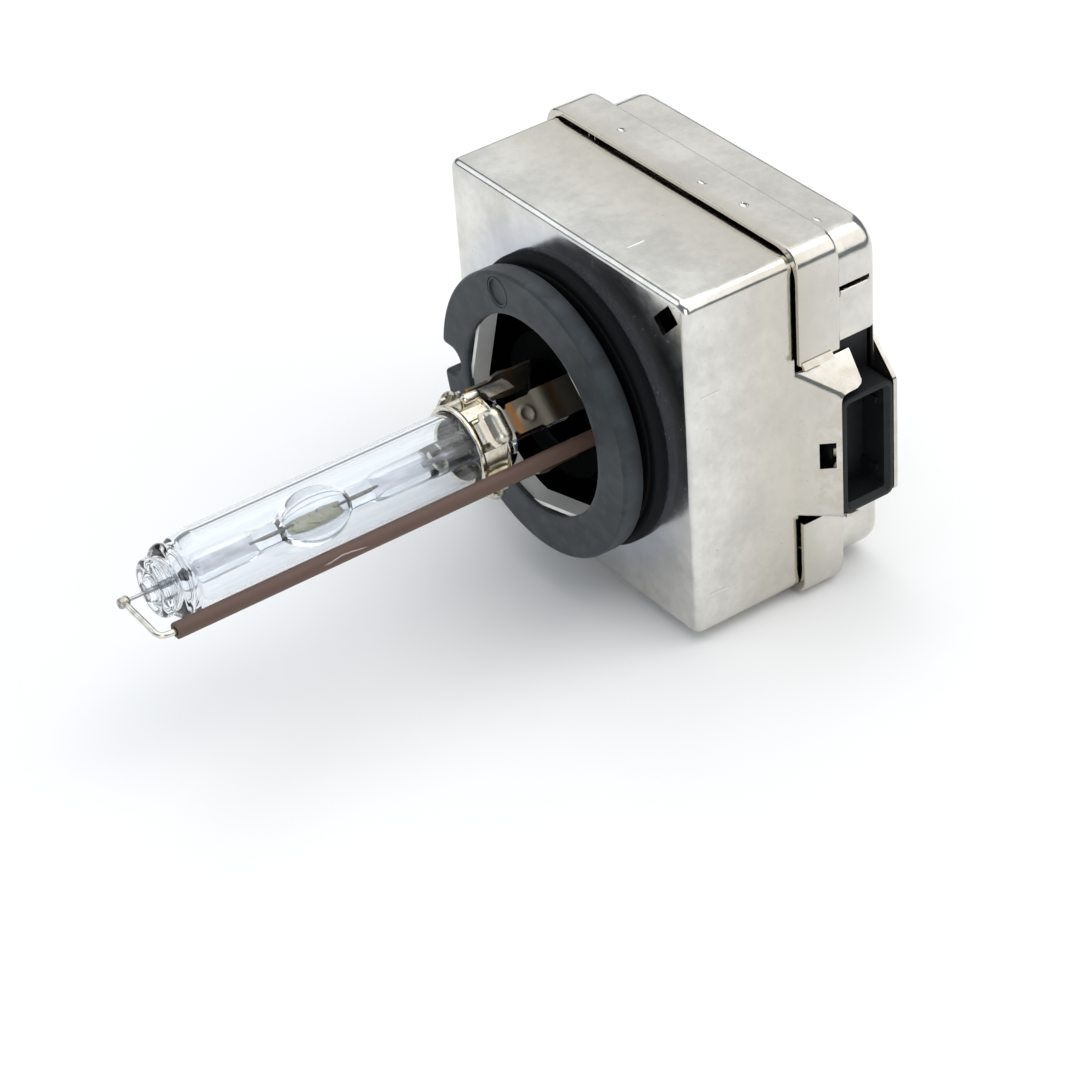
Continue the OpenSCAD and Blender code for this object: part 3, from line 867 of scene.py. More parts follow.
def shell_mesh():
    """Drawn cup with a thin wall, open at the seam and round the base's neck."""
    edge, corner, sheet = mm("bulb_box", "edge"), mm("bulb_box", "corner"), mm("bulb_box", "sheet")
    neck, land = NECK_R + 0.07, 16.8
    edge_steps, wall_steps = 8, 18
    rim = box_loop(FRONT_Y, -edge, corner - edge)
    loops = [neck_loop(rim, FRONT_Y + sheet, neck), neck_loop(rim, FRONT_Y, neck)]
    loops.append(neck_loop(rim, FRONT_Y, land))
    for i in range(edge_steps + 1):
        turn = math.pi / 2 * i / edge_steps
        back = edge * (1 - math.sin(turn))
        loops.append(box_loop(FRONT_Y + edge * (1 - math.cos(turn)), -back, corner - 0.8 * back))
    rest = SEAM_Y - FRONT_Y - edge
    for i in range(1, wall_steps + 1):
        loops.append(box_loop(FRONT_Y + edge + rest * i / wall_steps, 0, corner))
    for i in range(wall_steps):
        loops.append(box_loop(SEAM_Y - rest * i / wall_steps, -sheet, corner - sheet))
    loops.append(box_loop(FRONT_Y + sheet, -sheet - 0.3, 0.6))
    loops.append(neck_loop(rim, FRONT_Y + sheet, land))
    return skin([[hollow(p) for p in loop] for loop in loops], ring=True)


def hood_mesh():
    """Sheet that leans out of the side and wraps over the socket."""
    sheet, side, mouth = mm("bulb_box", "sheet"), BOX_W / 2, SOCKET_HIGH.x
    root_y, bend_y, lip_y, top_end_y, tip_round = 16.6, 18.3, 22.3, 25.9, 1.2
    path = soften(
        [(side - 0.5, root_y), ((side - 0.24, bend_y), 1.2), ((mouth - 0.3, lip_y), 0.6),
         (mouth, lip_y + 0.32)],
        1.0, 6,
    )
    grid = []
    for x, y in path:
        out = min(1.0, max(0.0, (x - side) / (mouth - side)))
        top, base = 6.9 - 3.0 * out, -10.1 - 0.85 * out
        past = max(0.0, (out - 0.55) / 0.45)
        end = top_end_y - tip_round * (1 - math.sqrt(max(0.0, 1 - past ** 2)))
        section = soften(
            [(base - 0.45, y + 0.4 + 1.6 * out), ((base - 0.45, y), 0.5 + 0.4 * out),
             ((top, y), 1.1), (top + 0.1, end)],
            0.8, 6,
        )
        grid.append([(x, across, up) for up, across in section])
    return plate(grid, sheet * 0.8)


def stake(spot, radius):
    """A slanted pin that leaves a stake mark where it bites into the sheet."""
    x, y, z = spot
    return mesh_piece("stake", [pill((x - 0.55, y, z), (x + 0.55, y + 0.35, z), radius)])


def build_front_shell():
    """Shell with its corner slot and scratches, and the hood with its square window and tab."""
    side, top = BOX_W / 2, BOX_H / 2 + BOX_Z
    shell = mesh_piece("front_shell_sheet", [shell_mesh()])
    slot = turn_about_y(block((-1.8, -1.5, -1.05), (1.8, 1.5, 1.05)), 45)
    scratches = (
        ((7.5, 7.8, top + 0.1), (7.5, 10.3, top + 0.1)),
        ((side + 0.1, 6.8, 9.1), (side + 0.1, 9.3, 9.1)),
        ((side + 0.1, 6.9, -15.0), (side + 0.1, 9.6, -15.2)),
    )
    marks = [mesh_piece("mark", [pill(start, end, 0.15)]) for start, end in scratches]
    cut(shell, mesh_piece("slot", [moved(slot, 16.9, FRONT_Y, 17.35)]), *marks)
    hood = mesh_piece("hood", [hood_mesh()])
    cut(hood, mesh_piece("window", [block((20.4, 20.7, -4.9), (24, 22.15, -1.8))]))
    tab = plate(
        [[(21.0 - 0.35 * t, 20.75 + 0.9 * t, -4.7 + h) for h in (0.0, 0.45, 0.9)] for t in (0, 0.5, 1)],
        0.25,
    )
    join(shell, hood, mesh_piece("tab", [tab]))
    return done(shell, "plated_steel", "front_shell")


def join(piece, *others):
    """Adds the meshes of other pieces to one piece."""
    net = bmesh.new()
    net.from_mesh(piece.data)
    for other in others:
        net.from_mesh(other.data)
        bpy.data.objects.remove(other)
    net.to_mesh(piece.data)
    net.free()
    return piece


def cover_mesh():
    """Drawn cover: a skirt over the shell, a step, and a plateau with soft corners."""
    sheet, step = mm("bulb_box", "sheet"), mm("bulb_box", "step")
    big, small = mm("bulb_box", "cover_corner"), mm("bulb_box", "corner") + SKIRT_OUT
    edge = mm("bulb_box", "cover_edge")
    plateau, step_y = -0.2, 24.2
    outer = soften(
        [(SKIRT_OUT - 0.1, SEAM_Y), ((SKIRT_OUT, SEAM_Y + 0.12), 0.1), (SKIRT_OUT, 21.0),
         ((SKIRT_OUT, step_y), step), ((plateau, step_y + 0.25), 0.4), (plateau, 27.0),
         ((plateau, BACK_Y), edge), (-6.0, BACK_Y)],
        0.3, 7,
    )
    inner = soften(
        [(-6.0, BACK_Y - sheet), ((plateau - sheet, BACK_Y - sheet), edge - sheet),
         (plateau - sheet, 27.0), ((plateau - sheet, step_y - 0.2), 0.3),
         ((SKIRT_OUT - sheet, step_y - 0.45), 0.3), (SKIRT_OUT - sheet, SEAM_Y)],
        0.3, 7,
    )

    def loop(grow, y):
        share = min(1.0, max(0.0, (SKIRT_OUT - grow) / (SKIRT_OUT - plateau)))
        radius = small + (big - small) * share
        if grow < plateau:
            radius = max(0.3, big + grow - plateau)
        return box_loop(y, grow, radius)

    loops = [loop(g, y) for g, y in inner + outer]
    return skin(loops, first=True, last=True)


def build_rear_cover():
    """Cover, cut away round the socket, with its lanced slot, its stake marks and its ear."""
    side, top = BOX_W / 2, BOX_H / 2 + BOX_Z + SKIRT_OUT
    cover = mesh_piece("rear_cover_sheet", [cover_mesh()])
    low_z, high_z, slot_z = -11.3, 8.2, 14.1
    window = block((14, SEAM_Y - 1, low_z), (24, BACK_Y - 0.52, high_z))
    cut(
        cover, mesh_piece("window", [window]),
        mesh_piece("lance", [block((side - 1, 24.95, slot_z), (side + 2, 28.9, slot_z + 0.45))]),
        stake((9.9, 20.8, top + 0.12), 0.42), stake((3.6, 20.4, top + 0.2), 0.38),
        stake((-10.7, 21.0, top + 0.16), 0.4), stake((15.6, 25.6, top - 1.0), 0.3),
    )
    reach = SOCKET_HIGH.x - 0.02
    ear = soften(
        [(side - 3, -11.0), ((reach, -10.8), 0.5), ((reach, 2.9), 0.5), (side - 1, 7.0), (side - 3, 7.0)],
        0.2, 4,
    )
    lance = plate(
        [[(side - 0.12 - 0.22 * h, y, slot_z - 0.75 * h) for h in (0.0, 0.5, 1.0)]
         for y in (25.0, 26.3, 27.6, 28.85)], 0.2,
    )
    lip = plate(
        [[(side + SKIRT_OUT - 0.15 + 0.5 * t, y, high_z + 0.1 - 0.6 * t) for t in (0, 0.5, 1)]
         for y in (SEAM_Y + 0.15, 20.2, 21.6, 22.8)], 0.35,
    )
    # The ear lies a hair inside the back sheet, so that no two faces share a plane.
    join(
        cover, mesh_piece("ear", [prism(ear, BACK_Y - 0.48, BACK_Y - 0.02)]),
        mesh_piece("lance", [lance]), mesh_piece("lip", [lip]),
    )
    return done(cover, "plated_steel", "rear_cover")


# ---- Base ----


NOTCH_LIP = 0.55
RIM_STEPS, LIP_STEPS, NOTCH_STEPS = 150, 6, 12


def disc_outline():
    """Rim of the disc with its U-shaped notch, anticlockwise from just below the notch."""
    half, depth = mm("bulb_base", "notch"), mm("bulb_base", "notch_depth")
    lip = NOTCH_LIP
    middle = math.sqrt((DISC_R - lip) ** 2 - (half + lip) ** 2)
    reach = math.atan2(half + lip, -middle)
    turn = [-reach + 2 * reach * i / RIM_STEPS for i in range(RIM_STEPS + 1)]
    points = [(DISC_R * math.cos(a), DISC_R * math.sin(a)) for a in turn]
    for i in range(1, LIP_STEPS + 1):
        a = reach + (math.pi * 1.5 - reach) * i / LIP_STEPS
        points.append((-middle + lip * math.cos(a), half + lip + lip * math.sin(a)))
    bottom = -(DISC_R - depth + half)
    for i in range(NOTCH_STEPS + 1):
        a = math.pi / 2 - math.pi * i / NOTCH_STEPS
        points.append((bottom + half * math.cos(a), half * math.sin(a)))
    for i in range(LIP_STEPS):
        a = math.pi / 2 + (math.pi * 1.5 - reach) * i / LIP_STEPS
        points.append((-middle + lip * math.cos(a), -half - lip + lip * math.sin(a)))
    return points


def base_mesh():
    """Disc, neck, cavity and back flange as one skin round the axis."""
    outline = disc_outline()
    rim, opening = mm("bulb_base", "rim"), mm("bulb_base", "opening")
    fan = CAVITY_R + 0.1
    reach = math.atan2(outline[RIM_STEPS][1], outline[RIM_STEPS][0])
    wide = math.pi - math.asin((mm("bulb_base", "notch") + NOTCH_LIP) / fan)
    angles = [math.atan2(z, x) * wide / reach for x, z in outline[:RIM_STEPS + 1]]
    for i in range(len(outline) - RIM_STEPS - 1):
        share = min(1.0, max(0.0, (i - LIP_STEPS) / NOTCH_STEPS))
        angles.append(wide + 2 * (math.pi - wide) * share)

    def ring(radius, y):
        return [(radius * math.cos(a), y, radius * math.sin(a)) for a in angles]

    back_round, groove = 0.2, 12.35
    flange, flange_front, flange_back = 15.4, FRONT_Y + 0.52, 7.0
    loops = [ring(CAVITY_R, FRONT_Y + 0.5), ring(CAVITY_R, 0.62), ring(opening, 0.6)]
    loops += [ring(opening, 0.25), ring(opening + 0.08, 0.08), ring(opening + 0.28, 0.0)]
    loops.append(ring(fan, 0.0))
    for i in range(6):
        turn = math.pi / 2 * i / 5
        flat = inset(outline, rim * (1 - math.sin(turn)))
        loops.append([(x, rim * (1 - math.cos(turn)), z) for x, z in flat])
    for i in range(3):
        turn = math.pi / 2 * i / 2
        flat = inset(outline, back_round * (1 - math.cos(turn)))
        y = DISC_THICK - back_round * (1 - math.sin(turn))
        loops.append([(x, y, z) for x, z in flat])
    loops += [ring(groove, DISC_THICK), ring(groove, DISC_THICK + 0.05)]
    loops += [ring(NECK_R, DISC_THICK + 0.4), ring(NECK_R, flange_front)]
    loops += [ring(flange, flange_front), ring(flange, flange_back), ring(CAVITY_R, flange_back)]
    return skin(loops, ring=True)


def build_base():
    """Disc with its gate mark, and the tower in it with the claws' slots and the tube's bore."""
    tower = mm("bulb_base", "tower")
    base = mesh_piece("base_body", [base_mesh()])
    gate = turned(soften([(0, -0.5), (1.45, -0.5), (1.45, 0.22), (0, 0.22)], 0.05), 40)
    groove = turned([(1.62, -0.5), (1.76, -0.5), (1.76, 0.1), (1.62, 0.1)], 40, True)
    cut(base, *[mesh_piece("gate", [moved(part, -4.5, 0.0, 13.0)]) for part in (gate, groove)])
    seat = CAVITY_R + 0.05
    profile = [(4.9, 8.6), (4.9, 3.5), (5.1, 3.3), (tower, 3.3), (tower, 5.9), (seat, 5.9), (seat, 8.6)]
    post = mesh_piece("tower", [turned(soften(profile, 0.25, 3, closed=True), 96, ring=True)])
    slot = block((5.1, 3.0, -2.1), (5.62, 9.0, 2.1))
    slots = [mesh_piece("slot", [turn_about_y(slot, angle)]) for angle in CLAW_TURNS]
    bore = turned([(0, 2.0), (TUBE_R + 0.1, 2.0), (TUBE_R + 0.1, 9.5), (0, 9.5)], 24)
    cut(post, *slots, mesh_piece("bore", [moved(bore, TUBE_MID.x, 0.0, TUBE_MID.z)]))
    join(base, post)
    return done(base, "base_plastic", "base_moulding")


def build_seal_ring():
    """Rubber ring on the neck, with a shallow groove round its front."""
    front, back = low("seal_ring").y, high("seal_ring").y
    radius, bore = high("seal_ring").x, NECK_R + 0.1
    profile = soften(
        [(bore, front), (radius - 1.6, front), (radius - 1.4, front + 0.25),
         (radius - 1.0, front + 0.05), (radius - 0.45, front + 0.05), (radius, front + 0.6),
         (radius, back - 0.05), (bore, back - 0.05)],
        0.22, 4, closed=True,
    )
    ring = mesh_piece("seal_ring_rubber", [turned(profile, 144, ring=True)])
    return done(ring, "seal_rubber", "seal_ring")


# ---- Burner holder ----


def claw_height(u, v):
    """How far the outside of a claw stands from the axis, across u and along v."""
    bead, width = mm("bulb_holder", "bead"), mm("bulb_holder", "claw")
    lip_at, bead_at, weld_at, bend_at = -8.3, -6.65, -3.1, -0.6
    height = 5.38
    reach = width / 2 - bead * 0.95
    away = math.hypot(max(0.0, abs(u) - reach), v - bead_at)
    if away < bead:
        height += math.sqrt(bead ** 2 - away ** 2) * 0.98
    spot = math.hypot(u + 0.1, v - weld_at)
    height += 0.14 * math.exp(-((spot - 0.75) / 0.22) ** 2) - 0.1 * math.exp(-((spot / 0.5) ** 2))
    if v < lip_at:
        height -= 0.35 * ((lip_at - v) / 0.7) ** 2
    return height + 0.25 * math.exp(-(((v - bend_at) / 0.8) ** 2))


def ease(value, start, end):
    """0 before start, 1 after end, and smooth between them."""
    t = min(1.0, max(0.0, (value - start) / (end - start)))
    return t * t * (3 - 2 * t)


def claw_mesh():
    """One claw, along +X: a lip, a bead with round ends, a weld spot and a long leg."""
    width, sheet = mm("bulb_holder", "claw"), mm("bulb_holder", "sheet")
    tip, end, fine_end, fine, coarse = -8.95, 7.6, -1.5, 0.11, 0.45
    grid, v = [], tip
    while v <= end:
        half = width / 2 - 0.9 + 0.85 * ease(v, -8.35, -8.0) - 0.7 * ease(v, -5.55, -5.25)
        half += 0.45 * ease(v, -5.0, -4.7) + 0.28 * ease(v, -2.0, -1.6)
        row = []
        for k in range(25):
            u = half * (k / 12 - 1)
            row.append((claw_height(u, v), v, u))
        grid.append(row)
        v += fine if v < fine_end else coarse
    return plate(grid, sheet)


def build_claws():
    """The three claws, each its own piece."""
    for i, angle in enumerate(CLAW_TURNS):
        name = f"claw_{i + 1}"
        done(mesh_piece(name + "_spring", [turn_about_y(claw_mesh(), angle)]), "claw_steel", name)


def build_band():
    """Band with a rolled front edge, three rolled ears, six pressed tabs and a shoe behind."""
    radius = JACKET_R
    ring = soften(
        [(radius + 0.05, -9.4), ((radius + 0.55, -9.5), 0.15), ((radius + 0.6, -9.1), 0.15),
         ((radius + 0.32, -8.75), 0.15), (radius + 0.3, -7.0), ((radius + 0.34, -6.3), 0.1),
         ((radius + 0.62, -6.1), 0.1), (radius + 0.6, -5.95), ((radius + 0.1, -6.1), 0.1),
         (radius + 0.05, -6.6)],
        0.1, 3, closed=True,
    )
    parts = [turned(ring, 96, ring=True)]
    roll = mm("bulb_holder", "ear")
    for angle, start, end in ((92, -8.1, -6.0), (224, -8.1, -6.0), (344, -9.2, -6.3)):
        wings = [
            plate([[(radius + 0.2 + 0.9 * t, y, side + 0.1) for t in (0, 0.5, 1)]
                   for y in (start, (start + end) / 2, end)], 0.22)
            for side in (-0.35, 0.15)
        ]
        rolled = pill((radius + 1.15, start - 0.1, 0), (radius + 1.15, end + 0.1, 0), roll)
        parts += [turn_about_y(part, angle) for part in (*wings, rolled)]
    for angle in (12, 74, 132, 194, 256, 314):
        tab = plate(
            [[(radius + 0.42, y, u) for u in (-0.75, -0.35, 0.0, 0.35, 0.75)]
             for y in (-9.0, -8.0, -7.2, -6.4)], 0.2,
        )
        parts.append(turn_about_y(tab, angle))
    shoe = plate(
        [[(radius + 0.95 + 0.1 * math.cos(3 * u), y, u) for u in (-1.1, -0.6, 0.0, 0.6, 1.1)]
         for y in (-5.4, -4.4, -3.4, -2.4)], 0.25,
    )
    parts.append(turn_about_y(shoe, 92))
    band = mesh_piece("clamp_band_ring", parts)
    return done(band, "band_steel", "clamp_band")


# ---- Burner ----


VESSEL_HALF = 3.6
STEM_R = 1.73
FOIL_SLANT = math.radians(-40)


def build_jacket():
    """Outer tube: a worked, stepped tip, a straight wall and a closed back, hollow inside."""
    radius, wall = JACKET_R, mm("bulb_burner", "wall")
    tip = JACKET_TIP
    outer = soften(
        [(0, tip - 0.7), ((1.0, tip - 0.7), 0.2), ((1.25, tip - 0.1), 0.2),
         ((1.7, tip + 0.35), 0.3), ((2.35, tip), 0.25), ((3.0, tip + 0.15), 0.4),
         ((3.3, tip + 0.9), 0.3), ((2.75, tip + 1.35), 0.2), ((2.9, tip + 1.75), 0.25),
         ((3.7, tip + 1.8), 0.25), ((4.0, tip + 2.35), 0.3), ((3.85, tip + 2.9), 0.25),
         ((3.35, tip + 3.15), 0.2), ((3.45, tip + 3.55), 0.2), ((3.95, tip + 3.7), 0.3),
         ((radius, tip + 4.8), 0.8), (radius, -30), (radius, -12),
         ((radius, JACKET_BACK - 1.6), 0.6), ((radius - 0.6, JACKET_BACK), 0.5), (0, JACKET_BACK)],
        0.25, 5,
    )
    inner = soften(
        [(0, JACKET_BACK - 1.0), ((radius - 1.8, JACKET_BACK - 1.1), 0.6),
         ((radius - wall, JACKET_BACK - 2.8), 0.8), (radius - wall, -12), (radius - wall, -30),
         ((radius - wall, tip + 5.2), 1.2), ((2.75, tip + 3.6), 0.5), ((2.3, tip + 2.0), 0.5),
         (0, tip + 1.5)],
        0.4, 5,
    )
    jacket = mesh_piece("quartz_jacket_glass", [turned(outer, 128), turned(inner, 128)])
    flip_inner(jacket, lambda p: p.y > (tip + 1.2) * MM and math.hypot(p.x, p.z) < (radius - 0.5) * MM)
    return done(jacket, "jacket_quartz", "quartz_jacket")


def flip_inner(piece, inside):
    """Turns the faces of a closed inner skin towards the space inside it."""
    net = bmesh.new()
    net.from_mesh(piece.data)
    left = set(net.faces)
    while left:
        first = left.pop()
        group, open_faces = [first], [first]
        while open_faces:
            face = open_faces.pop()
            for edge in face.edges:
                for other in edge.link_faces:
                    if other in left:
                        left.remove(other)
                        group.append(other)
                        open_faces.append(other)
        if all(inside(vert.co) for face in group for vert in face.verts):
            middle = sum((f.calc_center_median() for f in group), Vector()) / len(group)
            outward = sum((f.normal.dot(f.calc_center_median() - middle) for f in group))
            if outward > 0:
                bmesh.ops.reverse_faces(net, faces=group)
    net.to_mesh(piece.data)
    net.free()


def vessel_sections():
    """Place along the axis, half width, half thickness and squareness of the discharge tube."""
    vessel, neck, half = mm("bulb_burner", "vessel"), 1.22, 4.05
    sections = [(18.0, STEM_R, STEM_R, 2.0), (15.2, STEM_R, STEM_R, 2.0), (14.6, 1.7, 1.45, 2.4)]
    sections += [(14.0, 1.62, 0.98, 4.0), (13.4, 1.55, 0.85, 6.0), (8.2, 1.5, 0.85, 6.0)]
    sections += [(7.6, 1.45, 0.95, 4.0), (7.0, 1.3, 1.1, 2.6), (6.4, neck, neck, 2.0)]
    for i in range(13):
        along = 5.2 * (1 - i / 12)
        bulge = vessel * math.sqrt(max(0.0, 1 - (along / half) ** 2))
        radius = (neck ** 5 + bulge ** 5) ** 0.2
        sections.append((along, radius, radius, 2.0))
    return sections


def section_loop(y, wide, thick, square, count=72):
    """A loop between an ellipse and a rectangle, turned to the foils' slant."""
    loop = []
    for i in range(count):
        a = 2 * math.pi * i / count
        u = wide * math.copysign(abs(math.cos(a)) ** (2 / square), math.cos(a))
        w = thick * math.copysign(abs(math.sin(a)) ** (2 / square), math.sin(a))
        x = u * math.cos(FOIL_SLANT) - w * math.sin(FOIL_SLANT)
        z = u * math.sin(FOIL_SLANT) + w * math.cos(FOIL_SLANT)
        loop.append((x, y, z))
    return loop


def build_arc_tube():
    """Inner tube, pinched flat over each foil, with the egg-shaped cavity between them."""
    sections = vessel_sections()
    front = [(ARC_Y - s[0], *s[1:]) for s in sections]
    rear = [(ARC_Y + s[0], *s[1:]) for s in reversed(sections[:-1])]
    front[0] = (JACKET_TIP + 0.9, STEM_R, STEM_R, 2.0)
    rear.append((high("arc_tube").y, STEM_R, STEM_R, 2.0))
    outer = skin([section_loop(*s) for s in front + rear], first=True, last=True)
    cavity, steps = mm("bulb_burner", "cavity"), 24
    egg = []
    for i in range(steps + 1):
        turn = math.pi * i / steps
        egg.append((cavity * math.sin(turn) ** 0.9, ARC_Y - VESSEL_HALF * math.cos(turn)))
    vessel = mesh_piece("arc_tube_glass", [outer, turned(egg, 64)])
    long, wide = (VESSEL_HALF + 0.01) * MM, 1.02 * cavity * MM
    flip_inner(
        vessel, lambda p: abs(p.y - ARC_Y * MM) <= long and math.hypot(p.x, p.z) <= wide
    )
    return done(vessel, "vessel_quartz", "arc_tube")


def build_salts():
    """A thin crust along the floor of the vessel's cavity."""
    cavity, grid = mm("bulb_burner", "cavity"), []
    for i in range(29):
        along = -2.9 + 5.8 * i / 28
        wall = cavity * math.sqrt(1 - (along / VESSEL_HALF) ** 2) - 0.02
        row = []
        for j in range(33):
            share = j / 16 - 1
            edge = 1 - abs(share) ** 2.5 * (0.8 + 0.2 * noise.noise((i * 0.3, j * 0.2, 1.0)))
            angle = math.radians(-90 + 82 * share + 6 * noise.noise((i * 0.25, 3.0, 0.0)))
            rise = 0.04 + 0.2 * max(0.0, edge) * (1 - (along / 3.0) ** 2)
            rise *= 1 + 0.35 * noise.noise((i * 0.4, j * 0.4, 7.0))
            radius = wall - rise
            row.append((radius * math.cos(angle), ARC_Y + along, radius * math.sin(angle)))
        grid.append(row)
    salts = mesh_piece("salt_crust", [plate(grid, 0.03)])
    return done(salts, "metal_salts", "salt_pool")


def build_lead():
    """Front lead with the weld bead that shows inside the quartz."""
    radius = mm("bulb_burner", "lead")
    end = low("lead_front").y
    profile = soften(
        [(0, end + 0.05), (radius, end + 0.05), (radius, -43.2), ((0.44, -43.05), 0.15),
         ((0.44, -42.5), 0.15), ((0.26, -42.4), 0.1), ((0.36, -42.2), 0.1), ((0.3, -41.95), 0.1),
         (0.09, -41.85), (0.09, -40.6), (0, -40.6)],
        0.05, 3,
    )
    lead = mesh_piece("lead_front_wire", [turned(profile, 24)])
    return done(lead, "molybdenum", "lead_front")


def build_knob():
    """Crimped weld that holds the return wire on the lead."""
    front = low("weld_knob").y
    profile = soften(
        [(0.05, front + 0.16), (0.2, front + 0.16), ((0.26, front + 0.02), 0.05),
         ((0.5, front + 0.02), 0.12), ((0.6, front + 0.28), 0.15), ((0.54, front + 0.62), 0.15),
         ((0.6, front + 0.9), 0.12), ((0.42, front + 1.16), 0.15), (0.05, front + 1.18)],
        0.06, 4,
    )
    knob = mesh_piece("weld_knob_bead", [turned(profile, 32)])
    for vert in knob.data.vertices:
        lump = noise.noise(vert.co * 1400)
        vert.co.x *= 1 + 0.07 * lump
        vert.co.z *= 1 + 0.09 * lump
    return done(knob, "weld_metal", "weld_knob")


def build_return_wire():
    """Nickel wire from the knob across to the ceramic tube and back through it."""
    radius, back = mm("bulb_burner", "wire"), high("return_wire").y
    y = low("weld_knob").y + 0.6
    across = Vector((TUBE_MID.x, 0, TUBE_MID.z))
    line = soften(
        [(0.1, y, 0.0), tuple(across * 0.3 + Vector((0, y, 0))),
         (tuple(across * 0.62 + Vector((0, y + 0.05, 0))), 0.5),
         (tuple(across + Vector((0, y + 0.02, 0))), 1.5), (TUBE_MID.x, -46.0, TUBE_MID.z),
         (TUBE_MID.x, -30, TUBE_MID.z), (TUBE_MID.x, back, TUBE_MID.z)],
        0.8, 10,
    )
    radii = [radius * 0.8] + [radius] * (len(line) - 1)
    wire = mesh_piece("return_wire_bar", [tube(line, radii, 28)])
    return done(wire, "nickel_wire", "return_wire")


def build_ceramic_tube():
    """Brown tube, with an uneven broken edge at its open end."""
    bore = 0.4
    profile = [(bore, TUBE_BACK), (bore, TUBE_FRONT + 0.3), ((bore + 0.08, TUBE_FRONT + 0.05), 0.08)]
    profile += [((TUBE_R - 0.06, TUBE_FRONT), 0.06), ((TUBE_R, TUBE_FRONT + 0.12), 0.06)]
    profile += [(TUBE_R, TUBE_FRONT + 1.0), (TUBE_R, -20), (TUBE_R, TUBE_BACK)]
    pipe = mesh_piece("ceramic_pipe", [turned(soften(profile, 0.05, 3, closed=True), 56, ring=True)])
    for vert in pipe.data.vertices:
        y = vert.co.y / MM
        if y < TUBE_FRONT + 0.4:
            angle = math.atan2(vert.co.z, vert.co.x)
            chip = 0.14 * abs(noise.noise((math.cos(angle) * 1.7, math.sin(angle) * 1.7, 4.0)))
            vert.co.y += chip * MM
        vert.co.x += TUBE_MID.x * MM
        vert.co.z += TUBE_MID.z * MM
    return done(pipe, "brown_ceramic", "ceramic_tube")


# ---- Connector ----


def build_connector():
    """Socket with a deep mouth and two keying ribs, the foot inside the box and the latch edge."""
    y_low, y_high = 22.72, SOCKET_HIGH.y
    z_low, z_high = -11.05, 3.08
    middle, height = (y_low + y_high) / 2, (z_low + z_high) / 2

    def loop(x, grow, radius):
        flat = rounded(y_high - y_low + 2 * grow, z_high - z_low + 2 * grow, radius, 6, 6)
        return [(x, u + middle, w + height) for u, w in flat]

    mouth, floor = SOCKET_HIGH.x - 0.02, 14.3
    loops = [loop(9.0, 0, 0.9), loop(mouth - 0.25, 0, 0.9), loop(mouth - 0.07, -0.07, 0.85)]
    loops += [loop(mouth, -0.25, 0.7), loop(mouth, -0.5, 0.5), loop(mouth - 0.5, -0.95, 0.35)]
    loops += [loop(mouth - 4.0, -1.0, 0.3), loop(floor, -1.08, 0.25)]
    body = skin(loops, first=True, last=True)
    ribs = []
    for z in (-8.2, 0.2):
        ribs.append(block((floor, y_high - 1.3, z - 0.35), (mouth - 1.4, y_high - 0.9, z + 0.35)))
    foot = block((8.1, SOCKET_LOW.y + 0.02, -10.3), (13.1, y_low + 0.6, 2.3))
    shroud = block((15.2, 21.6, -11.2), (19.0, BACK_Y - 0.75, 8.6))
    latch = block((21.0, 22.3, -4.4), (21.5, 22.9, -2.2))
    housing = mesh_piece("connector_shroud", [body, foot, shroud, latch, *ribs])
    return done(housing, "connector_plastic", "connector_housing")


# ---- Stage ----


LIT = Vector((2, -5, 0))


def build_floor():
    """Pale round floor, just under the box."""
    radius, count, height = 2.6, 96, FLOOR_Z * MM - 0.0001
    turns = [2 * math.pi * i / count for i in range(count)]
    points = [(radius * math.cos(a), radius * math.sin(a), height) for a in turns]
    mesh = bpy.data.meshes.new("floor")
    mesh.from_pydata(points, [], [tuple(range(count))])
    floor = bpy.data.objects.new("floor", mesh)
    bpy.context.scene.collection.objects.link(floor)
    paint = Paint("floor_paper")
    where = paint.place()
    grain = paint.cloud(where, 0.05, 3.0)
    mesh.materials.append(paint.surface(
        Base_Color=paint.mix(grain, (0.9, 0.9, 0.9), (0.93, 0.93, 0.93)), Roughness=0.7,
        Specular_IOR_Level=0.1,
    ))


def soft_light(name, place, size, power, tint=(1, 1, 1)):
    """A square lamp that faces the bulb, with its place and size in millimetres."""
    lamp = bpy.data.lights.new(name, "AREA")
    lamp.shape, lamp.size = "SQUARE", size * MM
    lamp.energy, lamp.color = power, tint
    holder = bpy.data.objects.new(name, lamp)
    bpy.context.scene.collection.objects.link(holder)
    holder.location = Vector(place) * MM
    holder.rotation_mode = "QUATERNION"
    holder.rotation_quaternion = (LIT - Vector(place)).to_track_quat("-Z", "Y")


def build_camera():
    """Camera to the right and above, level apart from a slight roll."""
    azimuth, elevation, roll = math.radians(56.4), math.radians(35.46), math.radians(-4.37)
    seen, away = Vector((6.15, -4.15, -10.4)), 371.1
    ahead = Vector((
        -math.sin(azimuth) * math.cos(elevation), math.cos(azimuth) * math.cos(elevation),
        -math.sin(elevation),
    ))
    lens = bpy.data.cameras.new("camera")
    lens.lens, lens.sensor_width, lens.sensor_fit = 119.8, 36.0, "HORIZONTAL"
    lens.clip_start, lens.clip_end = 0.01, 20
    camera = bpy.data.objects.new("camera", lens)
    bpy.context.scene.collection.objects.link(camera)
    turn = ahead.to_track_quat("-Z", "Y").to_matrix() @ Matrix.Rotation(roll, 3, "Z")
    camera.rotation_mode = "QUATERNION"
    camera.rotation_quaternion = turn.to_quaternion()
    camera.location = (seen - ahead * away) * MM
    bpy.context.scene.camera = camera


